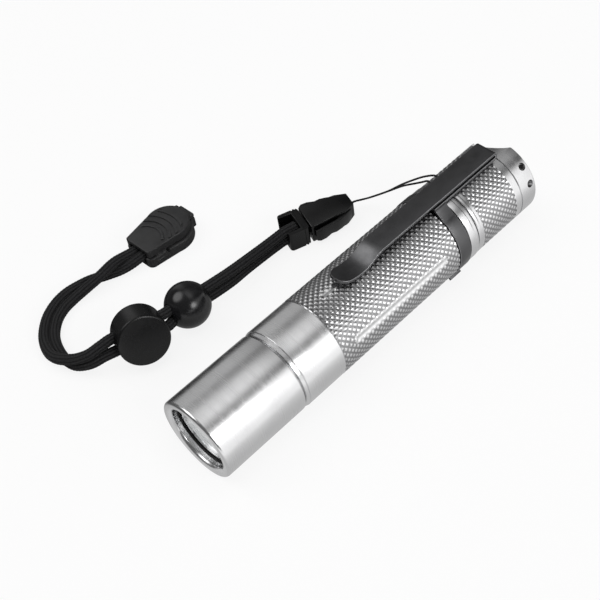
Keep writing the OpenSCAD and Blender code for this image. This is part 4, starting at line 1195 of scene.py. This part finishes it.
class FLASHLIGHT_OT_clip(bpy.types.Operator):
    """Make the pocket clip from bent sheet: ring, leaf, fold and arm"""
    bl_idname = "flashlight.clip"
    bl_label = "Pocket clip"

    # Steps of each round corner of the sheet's section
    corner_steps = 3

    def execute(self, context):
        self.edge = context.scene.flashlight_shapes.sheet_round / MM
        self.arm_z = ARM_TOP - SHEET / 2
        self.fold_r = SHEET + LEAF_GAP / 2
        self.fold_x = CLIP_END - self.fold_r
        self.leaf_z = self.arm_z - SHEET - LEAF_GAP
        self.fold_z = self.arm_z - SHEET / 2 - LEAF_GAP / 2
        stand_for(self.make_arm(), "clip", "clip_steel", "clip_arm")
        stand_for(self.make_ring(), "tube", "clip_steel", "clip_ring")
        stand_for(self.make_leaf(), "tube", "clip_steel")
        fold = self.make_fold()
        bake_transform(fold)
        return {"FINISHED"}

    def section(self, width, thickness):
        """Outline of the sheet across its length, with round corners."""
        edge = min(self.edge, width / 2.2)
        points = []
        for sx, sy, start in ((1, 1, 0), (-1, 1, 90), (-1, -1, 180), (1, -1, 270)):
            for a in np.radians(np.linspace(start, start + 90, self.corner_steps + 1)):
                points.append((sx * (width / 2 - edge) + edge * math.cos(a),
                               sy * (thickness / 2 - edge) + edge * math.sin(a)))
        return points

    def strip(self, name, path, normals, across, widths, thickness=SHEET):
        """A strip of sheet swept along a path, in millimetres on the light, marked for a painted highlight
        at its round corners.
        """
        points = []
        for p, n, w in zip(path, normals, widths):
            points += [at(*(np.array(p) + a * np.array(across) + b * np.array(n)))
                       for a, b in self.section(w, thickness)]
        corner = self.corner_steps + 1
        # Mask of the round corners, where the clip's finish paints a highlight.
        edge_highlight = [1.0 if 0 < i % corner < self.corner_steps else 0.0 for i in range(len(points))]
        faces = loft_faces(len(path), 4 * corner)
        return piece_from(name, points, faces, finish("clip_coat"), 40, {"edge": edge_highlight})

    def make_arm(self):
        """Level arm, a dip to the foot, and a raised round end."""
        tip_x, foot_low, foot_bend = FOOT_END - 0.6, FOOT_END + 6.2, FOOT_END + 12.4
        foot_z = BODY_R + 0.2 + SHEET / 2
        rise = 1.6

        def height(x):
            if x >= foot_bend:
                return self.arm_z
            if x >= foot_low:
                share = (x - foot_low) / (foot_bend - foot_low)
                return foot_z + (self.arm_z - foot_z) * (1 - math.cos(math.pi * share)) / 2
            return foot_z + rise * ((foot_low - x) / (foot_low - tip_x)) ** 2

        def width(x):
            from_round = max(tip_x + half - x, 0)
            return 2 * math.sqrt(max(half**2 - from_round**2, 0.01))

        half = ARM_W / 2
        xs = [tip_x + half * (1 - math.cos(a)) for a in np.linspace(0.12, math.pi / 2, 16)]
        xs += list(np.linspace(tip_x + half, foot_bend, 40)[1:])
        xs += list(np.linspace(foot_bend, self.fold_x, 12)[1:])
        slopes = [(height(x + 0.01) - height(x - 0.01)) / 0.02 for x in xs]
        normals = [np.array((-s, 0, 1)) / math.hypot(s, 1) for s in slopes]
        path = [(x, 0, height(x)) for x in xs]
        return self.strip("clip_arm_sheet", path, normals, (0, 1, 0), [width(x) for x in xs])

    def make_leaf(self):
        path = [(x, 0, self.leaf_z) for x in np.linspace(RING_X + 0.1, self.fold_x, 14)]
        normals = [(0, 0, 1)] * len(path)
        return self.strip("clip_leaf_sheet", path, normals, (0, 1, 0), [ARM_W] * len(path))

    def make_fold(self):
        """Half round from the leaf to the arm."""
        middle = self.fold_r - SHEET / 2
        angles = np.radians(np.linspace(-90, 90, 25))
        path = [(self.fold_x + middle * math.cos(a), 0, self.fold_z + middle * math.sin(a)) for a in angles]
        normals = [(math.cos(a), 0, math.sin(a)) for a in angles]
        return self.strip("clip_fold_sheet", path, normals, (0, 1, 0), [ARM_W] * len(path))

    def make_ring(self):
        """Band round the groove with shoulders up to the leaf and its ends flared outwards."""
        sheet, top, end = 0.8, 30, 138
        middle = BODY_R - GROOVE_DEEP + 0.1 + sheet / 2
        turns = np.radians(np.linspace(top, end, 40))
        side = [(middle * math.sin(a), middle * math.cos(a)) for a in turns]
        heading = np.array((math.cos(turns[-1]), -math.sin(turns[-1])))
        tip, tip_heading = np.array((6.95, -9.6)), np.array((0.86, -0.5))
        bend = [np.array(side[-1]), np.array(side[-1]) + heading, tip - 0.9 * tip_heading, tip]
        lip = [tuple((1 - t)**3 * bend[0] + 3 * t * (1 - t)**2 * bend[1] + 3 * t**2 * (1 - t) * bend[2]
                     + t**3 * bend[3]) for t in np.linspace(0.08, 1, 14)]
        leaf_edge, under_z = ARM_W / 2, self.leaf_z - 0.02
        shoulder = [(leaf_edge - 0.75, under_z), (leaf_edge - 0.2, under_z - 0.10),
                    (leaf_edge + 0.15, under_z - 0.43)]
        half = shoulder + side + lip
        line = np.array([(-y, z) for y, z in reversed(half)] + [(0, under_z)] + half)
        direction = np.gradient(line, axis=0)
        direction /= np.linalg.norm(direction, axis=1)[:, None]
        normals = [(0, -d[1], d[0]) for d in direction]
        path = [(RING_X + RING_W / 2, y, z) for y, z in line]
        return self.strip("clip_ring_sheet", path, normals, (1, 0, 0), [RING_W] * len(line), sheet)


class FLASHLIGHT_OT_springs(bpy.types.Operator):
    """Make the contact springs and the cord lock's spring as round wire"""
    bl_idname = "flashlight.springs"
    bl_label = "Springs"

    def execute(self, context):
        self.make_contact(
            "driver_spring", "head_contact", turns=5, base_r=3.2, tip_r=2.0, wire_r=0.3, sense=1)
        self.make_contact(
            "tail_spring", "tail_contact", turns=6, base_r=4.8, tip_r=3.0, wire_r=0.4, sense=-1)
        self.make_lock_spring()
        return {"FINISHED"}

    def coil(self, turns, start_r, end_r, length):
        """Points of a tapering coil along X from its wide end."""
        t = np.linspace(0, 1, turns * 36 + 1)
        a = TURN * turns * t
        r = (start_r + (end_r - start_r) * t) * MM
        return np.stack([length * t, r * np.cos(a), r * np.sin(a)], axis=1)

    def wire(self, name, path, radius, sides, steel, along):
        """Round wire along a path, with its radius in millimetres."""
        return tube(name, path, np.full((len(path), sides), radius * MM), finish(steel), along)

    def make_contact(self, node, body, turns, base_r, tip_r, wire_r, sense):
        low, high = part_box(node)
        length = high.x - low.x - 2 * wire_r * MM
        path = self.coil(turns, base_r, tip_r, length * sense)
        path[:, 0] += (low.x if sense > 0 else high.x) + sense * wire_r * MM
        path[:, 2] += AXIS_Z
        wire = self.wire(node + "_wire", path, wire_r, 12, "spring_steel", (1, 0, 0))
        stand_for(wire, body, "spring_steel", node)

    def make_lock_spring(self):
        """A short coil between the lock's wall and its plunger, along the plunger's press axis."""
        press = next(j for j in frame["joints"] if j["name"] == "lock_press")
        axis = Vector(press["axis"]).normalized()
        low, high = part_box("cord_lock_spring")
        middle = (low + high) / 2
        wire_r, coil_r, length = 0.2, 2.4, 1.15 * MM
        path = self.coil(2, coil_r, coil_r, length)
        path[:, 0] -= length / 2
        turn = np.array(Vector((1, 0, 0)).rotation_difference(axis).to_matrix())
        path = path @ turn.T + np.array(middle)
        wire = self.wire("lock_spring_wire", path, wire_r, 10, "plated_steel", tuple(axis))
        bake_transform(wire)
        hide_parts("cord_lock_spring")


class FLASHLIGHT_OT_lanyard(bpy.types.Operator):
    """Make the buckle, end clip, cord lock and bead, and clear the routes that the cords kept"""
    bl_idname = "flashlight.lanyard"
    bl_label = "Lanyard pieces"

    def execute(self, context):
        edge = context.scene.flashlight_shapes.mould_round
        pieces = {
            "buckle_top": ("tube", "moulded_plastic", 0.8),
            "buckle_bottom": ("strap", "moulded_plastic", 0.6),
            "end_clip_base": ("strap", "matt_plastic", 1.0),
            "end_clip_lid": ("end_lid", "matt_plastic", 1.15)}
        made = {}
        for node, (body, look, share) in pieces.items():
            made[node] = stand_for(moulded(node, finish(look), edge * share), body, "black_plastic", node)
        for node in ("cord_lock_barrel", "cord_lock_plunger"):
            dress(node, finish("moulded_plastic"))
        dress("bead", finish("glossy_bead"))
        ends = [made["buckle_bottom"], made["end_clip_base"], made["end_clip_lid"]]
        riders = [frame["nodes"][n] for n in ("bead", "cord_lock_barrel", "cord_lock_plunger")]
        self.declare("strap_cord_a_braid", STRAP_CORD_D, "fitting", ends + riders)
        self.declare("strap_cord_b_braid", STRAP_CORD_D, "fitting", ends)
        self.declare("lanyard_loop_cord", LOOP_D, "object", [made["buckle_top"]])
        return {"FINISHED"}

    def declare(self, name, diameter, far_end, pieces):
        cord = bpy.data.objects[name]
        del cord["cord_path"]
        del cord["cord_length"]


class FLASHLIGHT_OT_inner_parts(bpy.types.Operator):
    """Dress the pieces inside the light"""
    bl_idname = "flashlight.inner_parts"
    bl_label = "Inner parts"

    def execute(self, context):
        finishes = {
            "led_gasket": "white_plastic", "led_emitter": "phosphor", "led_board": "board_metal",
            "led_leads": "lead_wire", "pill": "brass", "driver_board": "board", "driver_parts": "component",
            "battery_cell": "cell_jacket", "battery_cap": "plated_steel", "switch_spacer": "white_plastic",
            "switch_body": "component", "switch_plunger": "white_plastic", "switch_board": "board",
            "switch_retaining_ring": "brass"}
        for node, key in finishes.items():
            dress(node, finish(key))
        return {"FINISHED"}


class FLASHLIGHT_PT_panel(bpy.types.Panel):
    """Lists the steps in the sidebar"""
    bl_idname = "FLASHLIGHT_PT_panel"
    bl_label = "Flashlight"
    bl_space_type = "VIEW_3D"
    bl_region_type = "UI"
    bl_category = "Flashlight"

    def draw(self, context):
        for operator in OPERATORS:
            self.layout.operator(operator.bl_idname)
        for group in (context.scene.flashlight_shapes, context.scene.flashlight_colours):
            box = self.layout.box()
            for key in group.bl_rna.properties.keys():
                if key not in ("rna_type", "name"):
                    box.prop(group, key)


OPERATORS = (
    FLASHLIGHT_OT_stage, FLASHLIGHT_OT_cords, FLASHLIGHT_OT_head, FLASHLIGHT_OT_tube, FLASHLIGHT_OT_tail,
    FLASHLIGHT_OT_clip, FLASHLIGHT_OT_springs, FLASHLIGHT_OT_lanyard, FLASHLIGHT_OT_inner_parts)
CLASSES = (FlashlightShapes, FlashlightColours, *OPERATORS, FLASHLIGHT_PT_panel)


def register():
    for cls in CLASSES:
        bpy.utils.register_class(cls)
    bpy.types.Scene.flashlight_shapes = PointerProperty(type=FlashlightShapes)
    bpy.types.Scene.flashlight_colours = PointerProperty(type=FlashlightColours)


def unregister():
    del bpy.types.Scene.flashlight_colours
    del bpy.types.Scene.flashlight_shapes
    for cls in reversed(CLASSES):
        bpy.utils.unregister_class(cls)


def main():
    register()
    bpy.ops.flashlight.stage()
    bpy.ops.flashlight.cords()
    bpy.ops.flashlight.head()
    bpy.ops.flashlight.tube()
    bpy.ops.flashlight.tail()
    bpy.ops.flashlight.clip()
    bpy.ops.flashlight.springs()
    bpy.ops.flashlight.lanyard()
    bpy.ops.flashlight.inner_parts()


if __name__ == "__main__":
    main()
